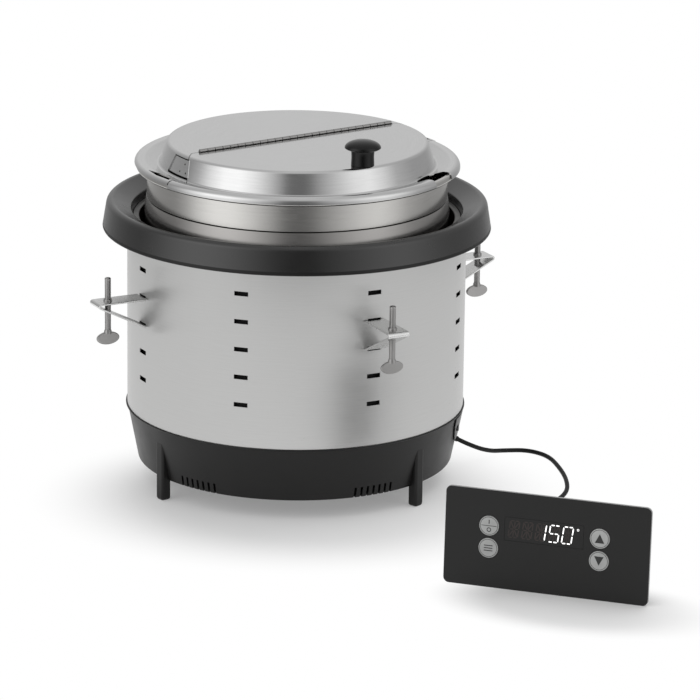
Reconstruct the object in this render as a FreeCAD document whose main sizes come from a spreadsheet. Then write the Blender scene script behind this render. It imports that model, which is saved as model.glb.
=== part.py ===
import FreeCAD, Part
import math
import os
import types

import Sketcher

# Drop-in induction soup kettle: a ring and shell that hang in a worktop, held by four clamps, a base
# with the induction drive, a loose pot with a hinged lid, and a control panel on a thin cable.
# Millimetres. The origin is on the floor under the kettle's axis, +Z is up and the front faces -Y.
# Angles run from the front towards +X.

RADIAN = math.degrees(1.0)

SIZES = {
    # Base and feet
    "foot_height": 18.0,
    "foot_width": 14.0,
    "foot_face_radius": 148.0,
    "foot_depth": 11.4,
    "foot_round": 2.0,
    "foot_half_angle": 49.7,
    "base_turn": -3.7,
    "base_radius": 141.2,
    "base_top_radius": 150.6,
    "base_height": 49.5,
    "base_wall": 3.0,
    "base_corner": 3.0,
    "base_lip_wall": 1.0,
    "base_lip_height": 2.0,
    "base_lip_depth": 1.5,
    "base_flange_width": 6.2,
    "base_flange_height": 3.0,
    "vent_count": 7,
    "vent_width": 2.2,
    "vent_pitch": 5.9,
    "vent_height": 12.0,
    "vent_rise": 1.5,
    "vent_half_angle": 32.9,
    # Bottom cover and its screws
    "cover_sheet": 1.5,
    "cover_gap": 0.3,
    "cover_screw_radius": 2.0,
    "cover_screw_head": 3.6,
    "cover_screw_head_height": 2.0,
    "cover_screw_count": 4,
    "cover_screw_turn": 45.0,
    "grille_slot_length": 60.0,
    "grille_slot_width": 4.0,
    "grille_pitch": 10.0,
    "grille_count": 6,
    # Access cover on the base
    "hatch_turn": 72.0,
    "hatch_angle": 44.0,
    "hatch_foot": 22.0,
    "hatch_height": 25.0,
    "hatch_depth": 1.5,
    "hatch_gap": 0.3,
    "hatch_screw_radius": 1.5,
    "hatch_screw_head": 3.0,
    "hatch_screw_inset": 5.3,
    # Outer shell, slots, insulation and well
    "shell_radius": 151.0,
    "shell_sheet": 0.8,
    "shell_height": 163.5,
    "slot_width": 12.7,
    "slot_height": 4.0,
    "slot_pitch": 25.0,
    "slot_drop": 25.0,
    "slot_rows": 5,
    "slot_columns": 8,
    "slot_turn": 26.7,
    "sleeve_wall": 5.0,
    "sleeve_gap": 0.6,
    "well_radius": 140.0,
    "well_sheet": 1.0,
    "well_ledge": 13.0,
    "floor_rise": 17.5,
    "floor_sheet": 4.0,
    "fit_gap": 0.3,
    # Top ring
    "ring_radius": 173.0,
    "ring_crown_radius": 168.5,
    "ring_height": 26.3,
    "ring_lip_radius": 147.5,
    "ring_lip_drop": 10.3,
    "ring_bore": 145.5,
    "ring_ledge_height": 8.5,
    "ring_inner": 143.0,
    "ring_edge_round": 2.5,
    "ring_crown_round": 5.0,
    "ring_wall": 3.6,
    "ring_seat": 7.2,
    # Worktop clamps
    "clamp_count": 4,
    "clamp_reach": 204.5,
    "clamp_knee": 1.4,
    "clamp_width": 20.0,
    "clamp_strap": 1.5,
    "clamp_strap_upright": 1.7,
    "clamp_tab_width": 12.0,
    "clamp_tab_length": 3.0,
    "clamp_top_row": 1,
    "clamp_low_row": 2,
    "clamp_screw_reach": 184.5,
    "clamp_screw_radius": 2.5,
    "clamp_screw_top": 20.85,
    "clamp_screw_low": 28.25,
    "clamp_hole_gap": 0.4,
    "clamp_nut_radius": 4.2,
    "clamp_nut_height": 5.0,
    "running_gap": 0.05,
    "paddle_width": 21.5,
    "paddle_height": 11.5,
    "paddle_sheet": 3.0,
    "paddle_round": 5.6,
    "paddle_neck": 3.6,
    # Pot
    "pot_height": 204.6,
    "pot_foot_radius": 125.8,
    "pot_body_radius": 134.8,
    "pot_neck_radius": 133.6,
    "pot_neck_drop": 30.4,
    "pot_step": 1.0,
    "pot_body_height": 151.0,
    "pot_corner": 14.0,
    "pot_sheet": 1.0,
    "pot_rim_radius": 142.9,
    "pot_rim_height": 6.4,
    "pot_rim_round": 2.8,
    # Lid
    "lid_turn": 34.2,
    "lid_sheet": 0.9,
    "lid_rise": 18.4,
    "lid_plate_radius": 116.6,
    "lid_plate_round": 3.6,
    "lid_wall_foot": 122.6,
    "lid_radius": 144.4,
    "lid_edge_round_flap": 5.2,
    "lid_edge_round_rear": 3.4,
    "lid_valley_drop": 3.6,
    "lid_valley_round": 2.2,
    "lid_crest_rise": 1.2,
    "lid_crest_radius": 135.6,
    "lid_crest_round": 9.0,
    "lid_skirt_flap": 5.2,
    "lid_skirt_rear": 2.4,
    "lid_split_gap": 0.4,
    "notch_turn": 32.0,
    "notch_width": 32.0,
    "notch_inner": 124.4,
    "notch_round": 5.0,
    "strip_angle": 15.0,
    "strip_lap": 5.0,
    "strip_sheet": 0.7,
    "strip_gap": 0.1,
    "strip_margin": 2.0,
    # Lid hinge
    "hinge_behind": 7.0,
    "hinge_length": 212.0,
    "hinge_rise": 0.9,
    "knuckle_radius": 2.1,
    "knuckle_count": 26,
    "knuckle_gap": 0.2,
    "pin_radius": 1.0,
    "leaf_width": 12.0,
    "leaf_sheet": 0.9,
    # Knob
    "knob_reach": 105.0,
    "knob_stem_radius": 10.0,
    "knob_cap_radius": 15.6,
    "knob_height": 23.8,
    "knob_cap_height": 8.0,
    "knob_screw_radius": 2.4,
    "knob_screw_length": 12.0,
    "knob_screw_head": 4.5,
    "knob_screw_head_height": 3.0,
    # Induction drive under the well
    "former_radius": 124.0,
    "former_sheet": 4.0,
    "former_rim": 3.0,
    "former_drop": 11.0,
    "former_post_radius": 5.0,
    "former_post_reach": 114.0,
    "former_post_turn": 108.0,
    "coil_inner": 24.0,
    "coil_outer": 110.0,
    "coil_height": 5.0,
    "ferrite_count": 8,
    "ferrite_length": 62.0,
    "ferrite_width": 10.0,
    "ferrite_height": 5.0,
    "ferrite_start": 34.0,
    "sensor_radius": 9.0,
    "board_length": 120.0,
    "board_width": 80.0,
    "board_sheet": 1.6,
    "board_x": 35.0,
    "board_y": -45.0,
    "standoff_height": 10.0,
    "standoff_radius": 3.0,
    "standoff_inset": 6.0,
    "sink_length": 70.0,
    "sink_width": 44.0,
    "sink_height": 24.0,
    "sink_base": 4.0,
    "sink_fins": 8,
    "sink_fin": 1.6,
    "fan_size": 80.0,
    "fan_height": 25.0,
    "fan_bore": 38.0,
    "fan_hub": 17.0,
    "fan_plate": 4.0,
    "fan_strut": 5.0,
    "fan_x": -55.0,
    "fan_y": 45.0,
    "fan_blades": 7,
    "fan_tip": 36.8,
    "fan_blade_sheet": 1.6,
    "fan_shaft": 1.5,
    "fan_shaft_gap": 0.5,
    "fan_blade_inset": 1.0,
    "fan_struts": 3,
    # Cable grommet on the base, and mains gland at the back
    "grommet_turn": 100.0,
    "grommet_width": 11.0,
    "grommet_height": 15.0,
    "grommet_tilt": 28.0,
    "grommet_nose": 12.0,
    "grommet_root_radius": 4.6,
    "grommet_tip_radius": 3.0,
    "gland_height": 24.0,
    "gland_radius": 8.0,
    "gland_nut_radius": 11.5,
    "gland_nut_height": 8.0,
    "gland_length": 26.0,
    # Control panel, measured from the foot of its face
    "panel_x": 209.7,
    "panel_y": -327.9,
    "panel_yaw": 19.1,
    "panel_width": 178.0,
    "panel_height": 84.5,
    "panel_sheet": 3.0,
    "panel_corner": 5.0,
    "housing_width": 150.0,
    "housing_margin": 2.4,
    "housing_depth": 39.5,
    "housing_wall": 2.5,
    "housing_corner": 6.0,
    "button_radius": 8.5,
    "button_gap": 0.2,
    "button_proud": 0.4,
    "button_flange": 9.3,
    "button_flange_sheet": 1.0,
    "button_stop_gap": 0.3,
    "button_stem": 2.5,
    "button_rest_gap": 0.7,
    "button_left": -50.4,
    "button_right": 45.5,
    "button_high": 53.5,
    "button_low": 34.2,
    "window_left": -37.0,
    "window_right": 31.5,
    "window_low": 42.5,
    "window_high": 63.0,
    "window_sheet": 2.2,
    "window_gap": 0.15,
    "module_margin": 1.5,
    "panel_board_back": 10.0,
    "panel_board_margin": 1.5,
    "switch_size": 6.0,
    "switch_height": 3.5,
    "boss_radius": 3.5,
    "boss_inset": 7.0,
    "panel_screw_radius": 1.5,
    "panel_screw_head": 3.0,
    "panel_screw_head_height": 2.0,
    "panel_screw_bite": 6.0,
    "panel_grommet_x": 3.0,
    "panel_grommet_height": 22.0,
    "panel_grommet_length": 9.0,
    "cable_radius": 2.0,
    "cable_straight": 15.0,
}

# Hand-laid middle points of the control cable, from the base's grommet to the panel's
CABLE_POINTS = [
    (178.0, 43.0, 6.6),
    (192.0, 58.0, 2.6),
    (214.0, 61.0, 2.2),
    (232.0, 44.0, 2.2),
    (240.0, 12.0, 2.2),
    (245.0, -24.0, 2.2),
    (244.0, -60.0, 2.2),
    (232.0, -88.0, 2.2),
    (220.0, -113.0, 2.2),
    (216.0, -140.0, 2.2),
    (220.0, -170.0, 2.2),
    (231.0, -199.0, 2.2),
    (237.0, -225.0, 5.0),
    (236.0, -249.0, 13.0),
]

doc = FreeCAD.newDocument("soup_kettle")
sheet = doc.addObject("Spreadsheet::Sheet", "sizes")
nodes = []


class Size:
    """A number from the sheet, or sums of them, with the expression that binds it to the sheet."""

    def __init__(self, number, text):
        self.number = float(number)
        self.text = text

    def __add__(self, other):
        other = as_size(other)
        return Size(self.number + other.number, f"({self.text} + {other.text})")

    def __sub__(self, other):
        other = as_size(other)
        return Size(self.number - other.number, f"({self.text} - {other.text})")

    def __mul__(self, other):
        other = as_size(other)
        return Size(self.number * other.number, f"({self.text} * {other.text})")

    def __truediv__(self, other):
        other = as_size(other)
        return Size(self.number / other.number, f"({self.text} / {other.text})")

    def __neg__(self):
        return Size(-self.number, f"(0 - {self.text})")

    def __radd__(self, other):
        return as_size(other) + self

    def __rsub__(self, other):
        return as_size(other) - self

    def __rmul__(self, other):
        return as_size(other) * self


def as_size(value):
    if isinstance(value, Size):
        return value
    return Size(value, f"({float(value)!r})")


def cosine(angle):
    return Size(math.cos(math.radians(angle.number)), f"cos({angle.text})")


def sine(angle):
    return Size(math.sin(math.radians(angle.number)), f"sin({angle.text})")


def arcsine(share):
    return Size(math.degrees(math.asin(share.number)), f"(asin({share.text}) / 1 deg)")


def fill_sheet():
    bound = {}
    for row, (name, value) in enumerate(SIZES.items(), start=1):
        sheet.set(f"A{row}", name)
        sheet.set(f"B{row}", str(value))
        sheet.setAlias(f"B{row}", name)
        bound[name] = Size(value, f"sizes.{name}")
    doc.recompute()
    return types.SimpleNamespace(**bound)


size = fill_sheet()

# Levels above the floor
z_base = size.foot_height
z_shell = z_base + size.base_height
z_ring = z_shell + size.shell_height
z_ledge = z_ring + size.ring_ledge_height
z_ring_top = z_ring + size.ring_height
z_floor = z_shell + size.floor_rise
z_floor_under = z_floor - size.floor_sheet
z_rim = z_floor + size.pot_height
z_flange = z_rim + size.lid_sheet
z_lid = z_rim + size.lid_rise
z_hinge = z_lid + size.hinge_rise
z_cover = z_base + size.cover_sheet
shell_inside = size.shell_radius - size.shell_sheet


# Helpers for sketches and features
def origin_feature(body, role):
    return next(item for item in body.Origin.OriginFeatures if item.Role == role)


def new_body(label):
    body = doc.addObject("PartDesign::Body", label)
    body.Label = label
    body.AllowCompound = True
    nodes.append(body)
    return body


def new_sketch(body, name, plane, turn=None, lift=None):
    """A sketch on an origin plane, turned about the upright axis and lifted along the plane's normal."""
    sketch = body.newObject("Sketcher::SketchObject", f"{body.Name}_{name}")
    sketch.AttachmentSupport = [(origin_feature(body, plane), "")]
    sketch.MapMode = "FlatFace"
    upright = FreeCAD.Vector(0, 0, 1) if plane == "XY_Plane" else FreeCAD.Vector(0, 1, 0)
    spin = FreeCAD.Rotation(upright, turn.number if turn else 0.0)
    raised = FreeCAD.Vector(0, 0, lift.number if lift else 0.0)
    sketch.AttachmentOffset = FreeCAD.Placement(spin.multVec(raised), spin)
    if turn:
        sketch.setExpression("AttachmentOffset.Rotation.Angle", turn.text)
    if lift and turn and plane != "XY_Plane":
        sketch.setExpression("AttachmentOffset.Base.x", (lift * sine(turn)).text)
        sketch.setExpression("AttachmentOffset.Base.z", (lift * cosine(turn)).text)
    elif lift:
        sketch.setExpression("AttachmentOffset.Base.z", lift.text)
    return sketch


def bind(sketch, constraint, expression):
    index = sketch.addConstraint(constraint)
    sketch.setExpression(f"Constraints[{index}]", expression.text)


def fix_point(sketch, geometry, position, across, up):
    """Hold a point at its distances from the sketch's two axes."""
    across = as_size(across)
    up = as_size(up)
    if across.number == 0:
        sketch.addConstraint(Sketcher.Constraint("PointOnObject", geometry, position, -2))
    else:
        bind(sketch, Sketcher.Constraint("DistanceX", -1, 1, geometry, position, across.number), across)
    if up.number == 0:
        sketch.addConstraint(Sketcher.Constraint("PointOnObject", geometry, position, -1))
    else:
        bind(sketch, Sketcher.Constraint("DistanceY", -1, 1, geometry, position, up.number), up)


def add_circle(sketch, across, up, radius):
    centre = FreeCAD.Vector(as_size(across).number, as_size(up).number, 0)
    circle = sketch.addGeometry(Part.Circle(centre, FreeCAD.Vector(0, 0, 1), radius.number))
    bind(sketch, Sketcher.Constraint("Radius", circle, radius.number), radius)
    fix_point(sketch, circle, 3, across, up)


def corner_arc(before, corner, after, radius):
    """The tangent points and the arc that round one corner, and whether the arc runs with the loop."""
    back = (before - corner).normalize()
    ahead = (after - corner).normalize()
    half = back.getAngle(ahead) / 2
    reach = radius / math.tan(half)
    enter = corner + back * reach
    leave = corner + ahead * reach
    centre = corner + (back + ahead).normalize() * (radius / math.sin(half))
    left_turn = (-back).cross(ahead).z > 0
    first, last = (enter, leave) if left_turn else (leave, enter)
    start = math.atan2(first.y - centre.y, first.x - centre.x)
    end = math.atan2(last.y - centre.y, last.x - centre.x)
    if end < start:
        end += 2 * math.pi
    circle = Part.Circle(centre, FreeCAD.Vector(0, 0, 1), radius)
    return enter, leave, Part.ArcOfCircle(circle, start, end), left_turn


def add_loop(sketch, corners):
    """A closed outline through corners (across, up) or, rounded, (across, up, radius)."""
    count = len(corners)
    points = [FreeCAD.Vector(as_size(c[0]).number, as_size(c[1]).number, 0) for c in corners]
    rounds = {}
    for index, corner in enumerate(corners):
        if len(corner) == 3:
            before = points[index - 1]
            after = points[(index + 1) % count]
            rounds[index] = corner_arc(before, points[index], after, as_size(corner[2]).number)
    lines = []
    for index in range(count):
        following = (index + 1) % count
        start = rounds[index][1] if index in rounds else points[index]
        end = rounds[following][0] if following in rounds else points[following]
        lines.append(sketch.addGeometry(Part.LineSegment(start, end)))
    for index, corner in enumerate(corners):
        incoming = lines[index - 1]
        outgoing = lines[index]
        if index not in rounds:
            sketch.addConstraint(Sketcher.Constraint("Coincident", incoming, 2, outgoing, 1))
            fix_point(sketch, outgoing, 1, corner[0], corner[1])
            continue
        arc = sketch.addGeometry(rounds[index][2])
        with_loop = rounds[index][3]
        enter, leave = (1, 2) if with_loop else (2, 1)
        mark = sketch.addGeometry(Part.Point(points[index]), True)
        fix_point(sketch, mark, 1, corner[0], corner[1])
        sketch.addConstraint(Sketcher.Constraint("PointOnObject", mark, 1, incoming))
        sketch.addConstraint(Sketcher.Constraint("PointOnObject", mark, 1, outgoing))
        sketch.addConstraint(Sketcher.Constraint("Tangent", incoming, 2, arc, enter))
        sketch.addConstraint(Sketcher.Constraint("Tangent", arc, leave, outgoing, 1))
        radius = as_size(corner[2])
        bind(sketch, Sketcher.Constraint("Radius", arc, radius.number), radius)


def box_corners(left, low, right, high):
    return [(left, low), (right, low), (right, high), (left, high)]


def round_box(left, low, right, high, radius):
    return [(left, low, radius), (right, low, radius), (right, high, radius), (left, high, radius)]


def turned(body, name, corners, angle=None, turn=None, cut=False):
    """Spin an outline (radius, height) about the upright axis, all the way round or through an angle."""
    sketch = new_sketch(body, name, "XZ_Plane", turn)
    add_loop(sketch, corners)
    kind = "PartDesign::Groove" if cut else "PartDesign::Revolution"
    feature = body.newObject(kind, f"{body.Name}_{name}_turned")
    feature.Profile = sketch
    feature.ReferenceAxis = (sketch, ["V_Axis"])
    feature.Angle = angle.number if angle else 360.0
    if angle:
        feature.setExpression("Angle", angle.text)
    return feature


def pad(body, sketch, length, both=False, backwards=False):
    feature = body.newObject("PartDesign::Pad", f"{sketch.Name}_pad")
    feature.Profile = sketch
    feature.SideType = "Symmetric" if both else "One side"
    feature.Reversed = backwards
    feature.Length = length.number
    feature.setExpression("Length", length.text)
    return feature


def pocket(body, sketch, length=None, both=False, backwards=False):
    """Cut an outline right through, or to a length."""
    feature = body.newObject("PartDesign::Pocket", f"{sketch.Name}_pocket")
    feature.Profile = sketch
    feature.SideType = "Symmetric" if both else "One side"
    feature.Reversed = backwards
    feature.Type = "Length" if length else "ThroughAll"
    if length:
        feature.Length = length.number
        feature.setExpression("Length", length.text)
    return feature


def around(body, feature, count):
    """Repeat a feature evenly about the upright axis."""
    pattern = body.newObject("PartDesign::PolarPattern", f"{feature.Name}_around")
    pattern.Originals = [feature]
    pattern.Axis = (origin_feature(body, "Z_Axis"), [""])
    pattern.Angle = 360
    pattern.Occurrences = int(count.number)
    pattern.setExpression("Occurrences", count.text)
    body.Tip = pattern
    return pattern


def along(body, feature, axis, span, count):
    """Repeat a feature along one of the body's axes, over a span from the first to the last."""
    pattern = body.newObject("PartDesign::LinearPattern", f"{feature.Name}_along")
    pattern.Originals = [feature]
    pattern.Direction = (origin_feature(body, axis), [""])
    pattern.Length = span.number
    pattern.setExpression("Length", span.text)
    pattern.Occurrences = int(count.number)
    pattern.setExpression("Occurrences", count.text)
    body.Tip = pattern
    return pattern


def turn_body(body, angle):
    """Turn a whole body about the upright axis."""
    body.Placement = FreeCAD.Placement(
        FreeCAD.Vector(), FreeCAD.Rotation(FreeCAD.Vector(0, 0, 1), angle.number)
    )
    body.setExpression("Placement.Rotation.Angle", angle.text)


def face_outward(body, angle):
    """Turn a body whose outward direction is +X so that it faces the given angle from the front."""
    turn_body(body, angle - 90)


def slope(foot, foot_height, top, top_height, height):
    """The radius, at a height, of the straight line between two radii."""
    return foot + (top - foot) * (height - foot_height) / (top_height - foot_height)


# Base
def base_wall_radius(height):
    return slope(size.base_radius, z_base, size.base_top_radius, z_shell - size.base_lip_depth, height)


def build_base_tray():
    body = new_body("base_tray")
    lip_inside = size.shell_radius + size.fit_gap
    lip_outside = lip_inside + size.base_lip_wall
    flange_top = z_cover + size.base_flange_height - size.cover_sheet
    flange_inside = size.base_radius - size.base_wall - size.base_flange_width
    seat_radius = cover_radius() + size.cover_gap
    turned(body, "wall", [
        (seat_radius, z_base),
        (size.base_radius, z_base, size.base_corner),
        (size.base_top_radius, z_shell - size.base_lip_depth),
        (lip_outside, z_shell - size.base_lip_depth / 2),
        (lip_outside, z_shell + size.base_lip_height),
        (lip_inside, z_shell + size.base_lip_height),
        (lip_inside, z_shell),
        (size.base_top_radius - size.base_wall, z_shell),
        (size.base_radius - size.base_wall, flange_top),
        (flange_inside, flange_top),
        (flange_inside, z_cover),
        (seat_radius, z_cover),
    ])
    for side in (-1, 1):
        turn = size.base_turn + size.vent_half_angle * side
        vents = new_sketch(body, "vents_left" if side < 0 else "vents_right", "XZ_Plane", turn)
        low = z_base + size.vent_rise
        for index in range(int(SIZES["vent_count"])):
            middle = size.vent_pitch * (index - (SIZES["vent_count"] - 1) / 2)
            half = size.vent_width / 2
            add_loop(vents, box_corners(middle - half, low, middle + half, low + size.vent_height))
        pocket(body, vents, both=True)
    notch = new_sketch(body, "cable_notch", "XZ_Plane", size.grommet_turn)
    half = size.grommet_width / 2
    add_loop(notch, box_corners(-half, z_base - 1, half, z_base + size.grommet_height))
    pocket(body, notch, backwards=True)
    recess = hatch_section(size.hatch_depth, 0)
    turned(body, "hatch_recess", recess, size.hatch_angle, size.hatch_turn - 90, cut=True)
    gland = new_sketch(body, "gland_hole", "XZ_Plane")
    add_circle(gland, 0, z_base + size.gland_height, size.gland_radius)
    pocket(body, gland)
    screws = new_sketch(body, "screw_holes", "XY_Plane", size.cover_screw_turn)
    add_circle(screws, 0, cover_screw_reach(), size.cover_screw_radius)
    hole = pocket(body, screws, flange_top, backwards=True)
    around(body, hole, size.cover_screw_count)


def cover_radius():
    return size.base_radius - size.base_wall - size.base_flange_width / 2


def cover_screw_reach():
    return cover_radius() - size.cover_screw_head


def hatch_section(depth, gap):
    """The access cover's upright section, following the sloped wall."""
    low = z_base + size.hatch_foot + gap
    high = z_base + size.hatch_foot + size.hatch_height - gap
    low_radius = base_wall_radius(low)
    high_radius = base_wall_radius(high)
    return [(low_radius - depth, low), (low_radius, low), (high_radius, high), (high_radius - depth, high)]


def build_terminal_cover():
    body = new_body("terminal_cover")
    gap_angle = size.hatch_gap / size.base_top_radius * RADIAN
    plate = hatch_section(size.hatch_depth - size.running_gap, size.hatch_gap)
    turned(body, "plate", plate, size.hatch_angle - gap_angle * 2, size.hatch_turn - 90 + gap_angle)


def build_terminal_cover_screws():
    body = new_body("terminal_cover_screws")
    middle = z_base + size.hatch_foot + size.hatch_height / 2
    wall = base_wall_radius(middle + size.hatch_screw_head)
    ends = (size.hatch_screw_inset, size.hatch_angle - size.hatch_screw_inset)
    for index, along_cover in enumerate(ends):
        turn = size.hatch_turn + along_cover
        head = new_sketch(body, f"head_{index + 1}", "XZ_Plane", turn, wall + size.running_gap)
        add_circle(head, 0, middle, size.hatch_screw_head)
        pad(body, head, size.hatch_screw_radius)


def build_feet():
    body = new_body("feet")
    angles = [
        size.base_turn - size.foot_half_angle,
        size.base_turn + size.foot_half_angle,
        size.base_turn + 180 - size.foot_half_angle,
        size.base_turn + 180 + size.foot_half_angle,
    ]
    half = size.foot_width / 2
    inner = size.foot_face_radius - size.foot_depth
    for index, angle in enumerate(angles):
        foot = new_sketch(body, f"post_{index + 1}", "XY_Plane", angle)
        add_loop(foot, [
            (-half, -size.foot_face_radius, size.foot_round),
            (half, -size.foot_face_radius, size.foot_round),
            (half, -inner),
            (-half, -inner),
        ])
        pad(body, foot, z_shell)
    gap = size.running_gap
    top = z_shell + size.base_lip_height
    turned(body, "base_space", [
        (0, z_base),
        (size.base_radius + gap, z_base),
        (size.base_top_radius + gap, z_shell - size.base_lip_depth),
        (size.base_top_radius + gap, top),
        (0, top),
    ], cut=True)


def build_bottom_cover():
    body = new_body("bottom_cover")
    turned(body, "plate", [(0, z_base), (cover_radius(), z_base), (cover_radius(), z_cover), (0, z_cover)])
    grille = new_sketch(body, "grille", "XY_Plane")
    for index in range(int(SIZES["grille_count"])):
        middle = size.fan_y + size.grille_pitch * (index - (SIZES["grille_count"] - 1) / 2)
        half = size.grille_slot_width / 2
        reach = size.grille_slot_length / 2
        add_loop(grille, box_corners(size.fan_x - reach, middle - half, size.fan_x + reach, middle + half))
    pocket(body, grille, backwards=True)
    screws = new_sketch(body, "screw_holes", "XY_Plane", size.cover_screw_turn)
    add_circle(screws, 0, cover_screw_reach(), size.cover_screw_radius)
    around(body, pocket(body, screws, backwards=True), size.cover_screw_count)


def build_cover_screws():
    body = new_body("cover_screws")
    shank_radius = size.cover_screw_radius - size.running_gap
    head = new_sketch(body, "head", "XY_Plane", size.cover_screw_turn, z_base)
    add_circle(head, 0, cover_screw_reach(), size.cover_screw_head)
    head_pad = pad(body, head, size.cover_screw_head_height, backwards=True)
    around(body, head_pad, size.cover_screw_count)
    shank = new_sketch(body, "shank", "XY_Plane", size.cover_screw_turn, z_base)
    add_circle(shank, 0, cover_screw_reach(), shank_radius)
    around(body, pad(body, shank, size.base_flange_height), size.cover_screw_count)


# Shell, insulation, well and ring
def build_outer_shell():
    body = new_body("outer_shell")
    turned(body, "wall", [
        (shell_inside, z_shell),
        (size.shell_radius, z_shell),
        (size.shell_radius, z_ring),
        (shell_inside, z_ring),
    ])
    column = new_sketch(body, "slots", "XZ_Plane", size.slot_turn)
    half_width = size.slot_width / 2
    half_height = size.slot_height / 2
    for row in range(int(SIZES["slot_rows"])):
        middle = slot_level(row)
        add_loop(column, box_corners(-half_width, middle - half_height, half_width, middle + half_height))
    around(body, pocket(body, column, backwards=True), size.slot_columns)


def slot_level(row):
    return z_ring - size.slot_drop - size.slot_pitch * row


def sleeve_outside():
    return size.well_radius + size.well_sheet + size.sleeve_gap + size.sleeve_wall


def build_insulation_sleeve():
    body = new_body("insulation_sleeve")
    inside = size.well_radius + size.well_sheet + size.sleeve_gap
    turned(body, "wall", [
        (inside, z_shell),
        (sleeve_outside(), z_shell),
        (sleeve_outside(), z_ring),
        (inside, z_ring),
    ])


def build_well_liner():
    body = new_body("well_liner")
    outside = size.well_radius + size.well_sheet
    flange = size.ring_bore - size.fit_gap
    under = z_floor_under - size.well_sheet
    turned(body, "wall", [
        (size.well_radius - size.well_ledge, under),
        (outside, under),
        (outside, z_ledge),
        (flange, z_ledge),
        (flange, z_ledge + size.well_sheet),
        (size.well_radius, z_ledge + size.well_sheet),
        (size.well_radius, z_floor_under),
        (size.well_radius - size.well_ledge, z_floor_under),
    ])


def build_well_floor():
    body = new_body("well_floor")
    edge = size.well_radius - size.fit_gap
    turned(body, "plate", [(0, z_floor_under), (edge, z_floor_under), (edge, z_floor), (0, z_floor)])


def build_top_ring():
    body = new_body("top_ring")
    lip = z_ring_top - size.ring_lip_drop
    turned(body, "section", [
        (size.ring_inner, z_ring),
        (size.ring_radius, z_ring, size.ring_edge_round),
        (size.ring_crown_radius, z_ring_top, size.ring_crown_round),
        (size.ring_lip_radius, lip, size.ring_edge_round / 2),
        (size.ring_bore, z_ledge),
        (size.ring_inner, z_ledge),
    ])
    wall = size.ring_wall
    turned(body, "underside", [
        (size.shell_radius + wall, z_ring),
        (size.ring_radius - size.ring_seat, z_ring),
        (size.ring_crown_radius - size.ring_seat, z_ring_top - wall * 2),
        (size.shell_radius + wall, lip - wall),
    ], cut=True)


# Worktop clamps
def clamp_angle(index):
    return size.slot_turn + 360.0 / SIZES["clamp_count"] * index


def clamp_top():
    return slot_level(SIZES["clamp_top_row"]) + size.clamp_strap / 2


def build_clamp_bracket(index):
    body = new_body(f"clamp_bracket_{index + 1}")
    top = clamp_top()
    low = slot_level(SIZES["clamp_low_row"]) - size.clamp_strap / 2
    inside = shell_inside - size.clamp_tab_length
    knee = size.shell_radius + size.clamp_knee
    strap = size.clamp_strap
    upright = size.clamp_strap_upright
    fold = size.clamp_reach - (strap + upright) * (size.clamp_reach - knee) / (top - low)
    section = new_sketch(body, "section", "XZ_Plane")
    add_loop(section, [
        (inside, low),
        (knee, low),
        (size.clamp_reach, top),
        (inside, top),
        (inside, top - strap),
        (fold, top - strap),
        (knee - (upright - strap), low + strap),
        (inside, low + strap),
    ])
    pad(body, section, size.clamp_width, both=True)
    trim = new_sketch(body, "tab_trim", "XY_Plane")
    half_tab = size.clamp_tab_width / 2
    for side in (-1, 1):
        near = half_tab * side
        far = size.clamp_width * side
        low_edge, high_edge = (near, far) if side > 0 else (far, near)
        add_loop(trim, box_corners(inside - 1, low_edge, size.shell_radius + size.fit_gap, high_edge))
    pocket(body, trim, backwards=True)
    hole = new_sketch(body, "screw_hole", "XY_Plane")
    add_circle(hole, size.clamp_screw_reach, 0, size.clamp_screw_radius + size.clamp_hole_gap)
    pocket(body, hole, backwards=True)
    face_outward(body, clamp_angle(index))


def build_clamp_nuts():
    body = new_body("clamp_nuts")
    ring = new_sketch(body, "ring", "XY_Plane", None, clamp_top())
    add_circle(ring, size.clamp_screw_reach, 0, size.clamp_nut_radius)
    add_circle(ring, size.clamp_screw_reach, 0, size.clamp_screw_radius + size.running_gap)
    around(body, pad(body, ring, size.clamp_nut_height), size.clamp_count)
    face_outward(body, clamp_angle(0))


def build_clamp_screw(index):
    """A thumb screw with a flat oval head, upright through the bracket. Every second head lies crosswise."""
    body = new_body(f"clamp_screw_{index + 1}")
    bottom = clamp_top() - size.clamp_screw_low
    shank = new_sketch(body, "shank", "XY_Plane", None, bottom)
    add_circle(shank, size.clamp_screw_reach, 0, size.clamp_screw_radius)
    pad(body, shank, size.clamp_screw_low + size.clamp_screw_top)
    neck = new_sketch(body, "neck", "XY_Plane", None, bottom)
    add_circle(neck, size.clamp_screw_reach, 0, size.paddle_neck)
    pad(body, neck, size.clamp_strap)
    half = size.paddle_width / 2
    reach = size.clamp_screw_reach
    foot = bottom - size.paddle_height
    if index % 2:
        paddle = new_sketch(body, "paddle", "XZ_Plane")
        add_loop(paddle, round_box(reach - half, foot, reach + half, bottom, size.paddle_round))
    else:
        paddle = new_sketch(body, "paddle", "YZ_Plane", None, reach)
        add_loop(paddle, round_box(-half, foot, half, bottom, size.paddle_round))
    pad(body, paddle, size.paddle_sheet, both=True)
    face_outward(body, clamp_angle(index))


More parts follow.
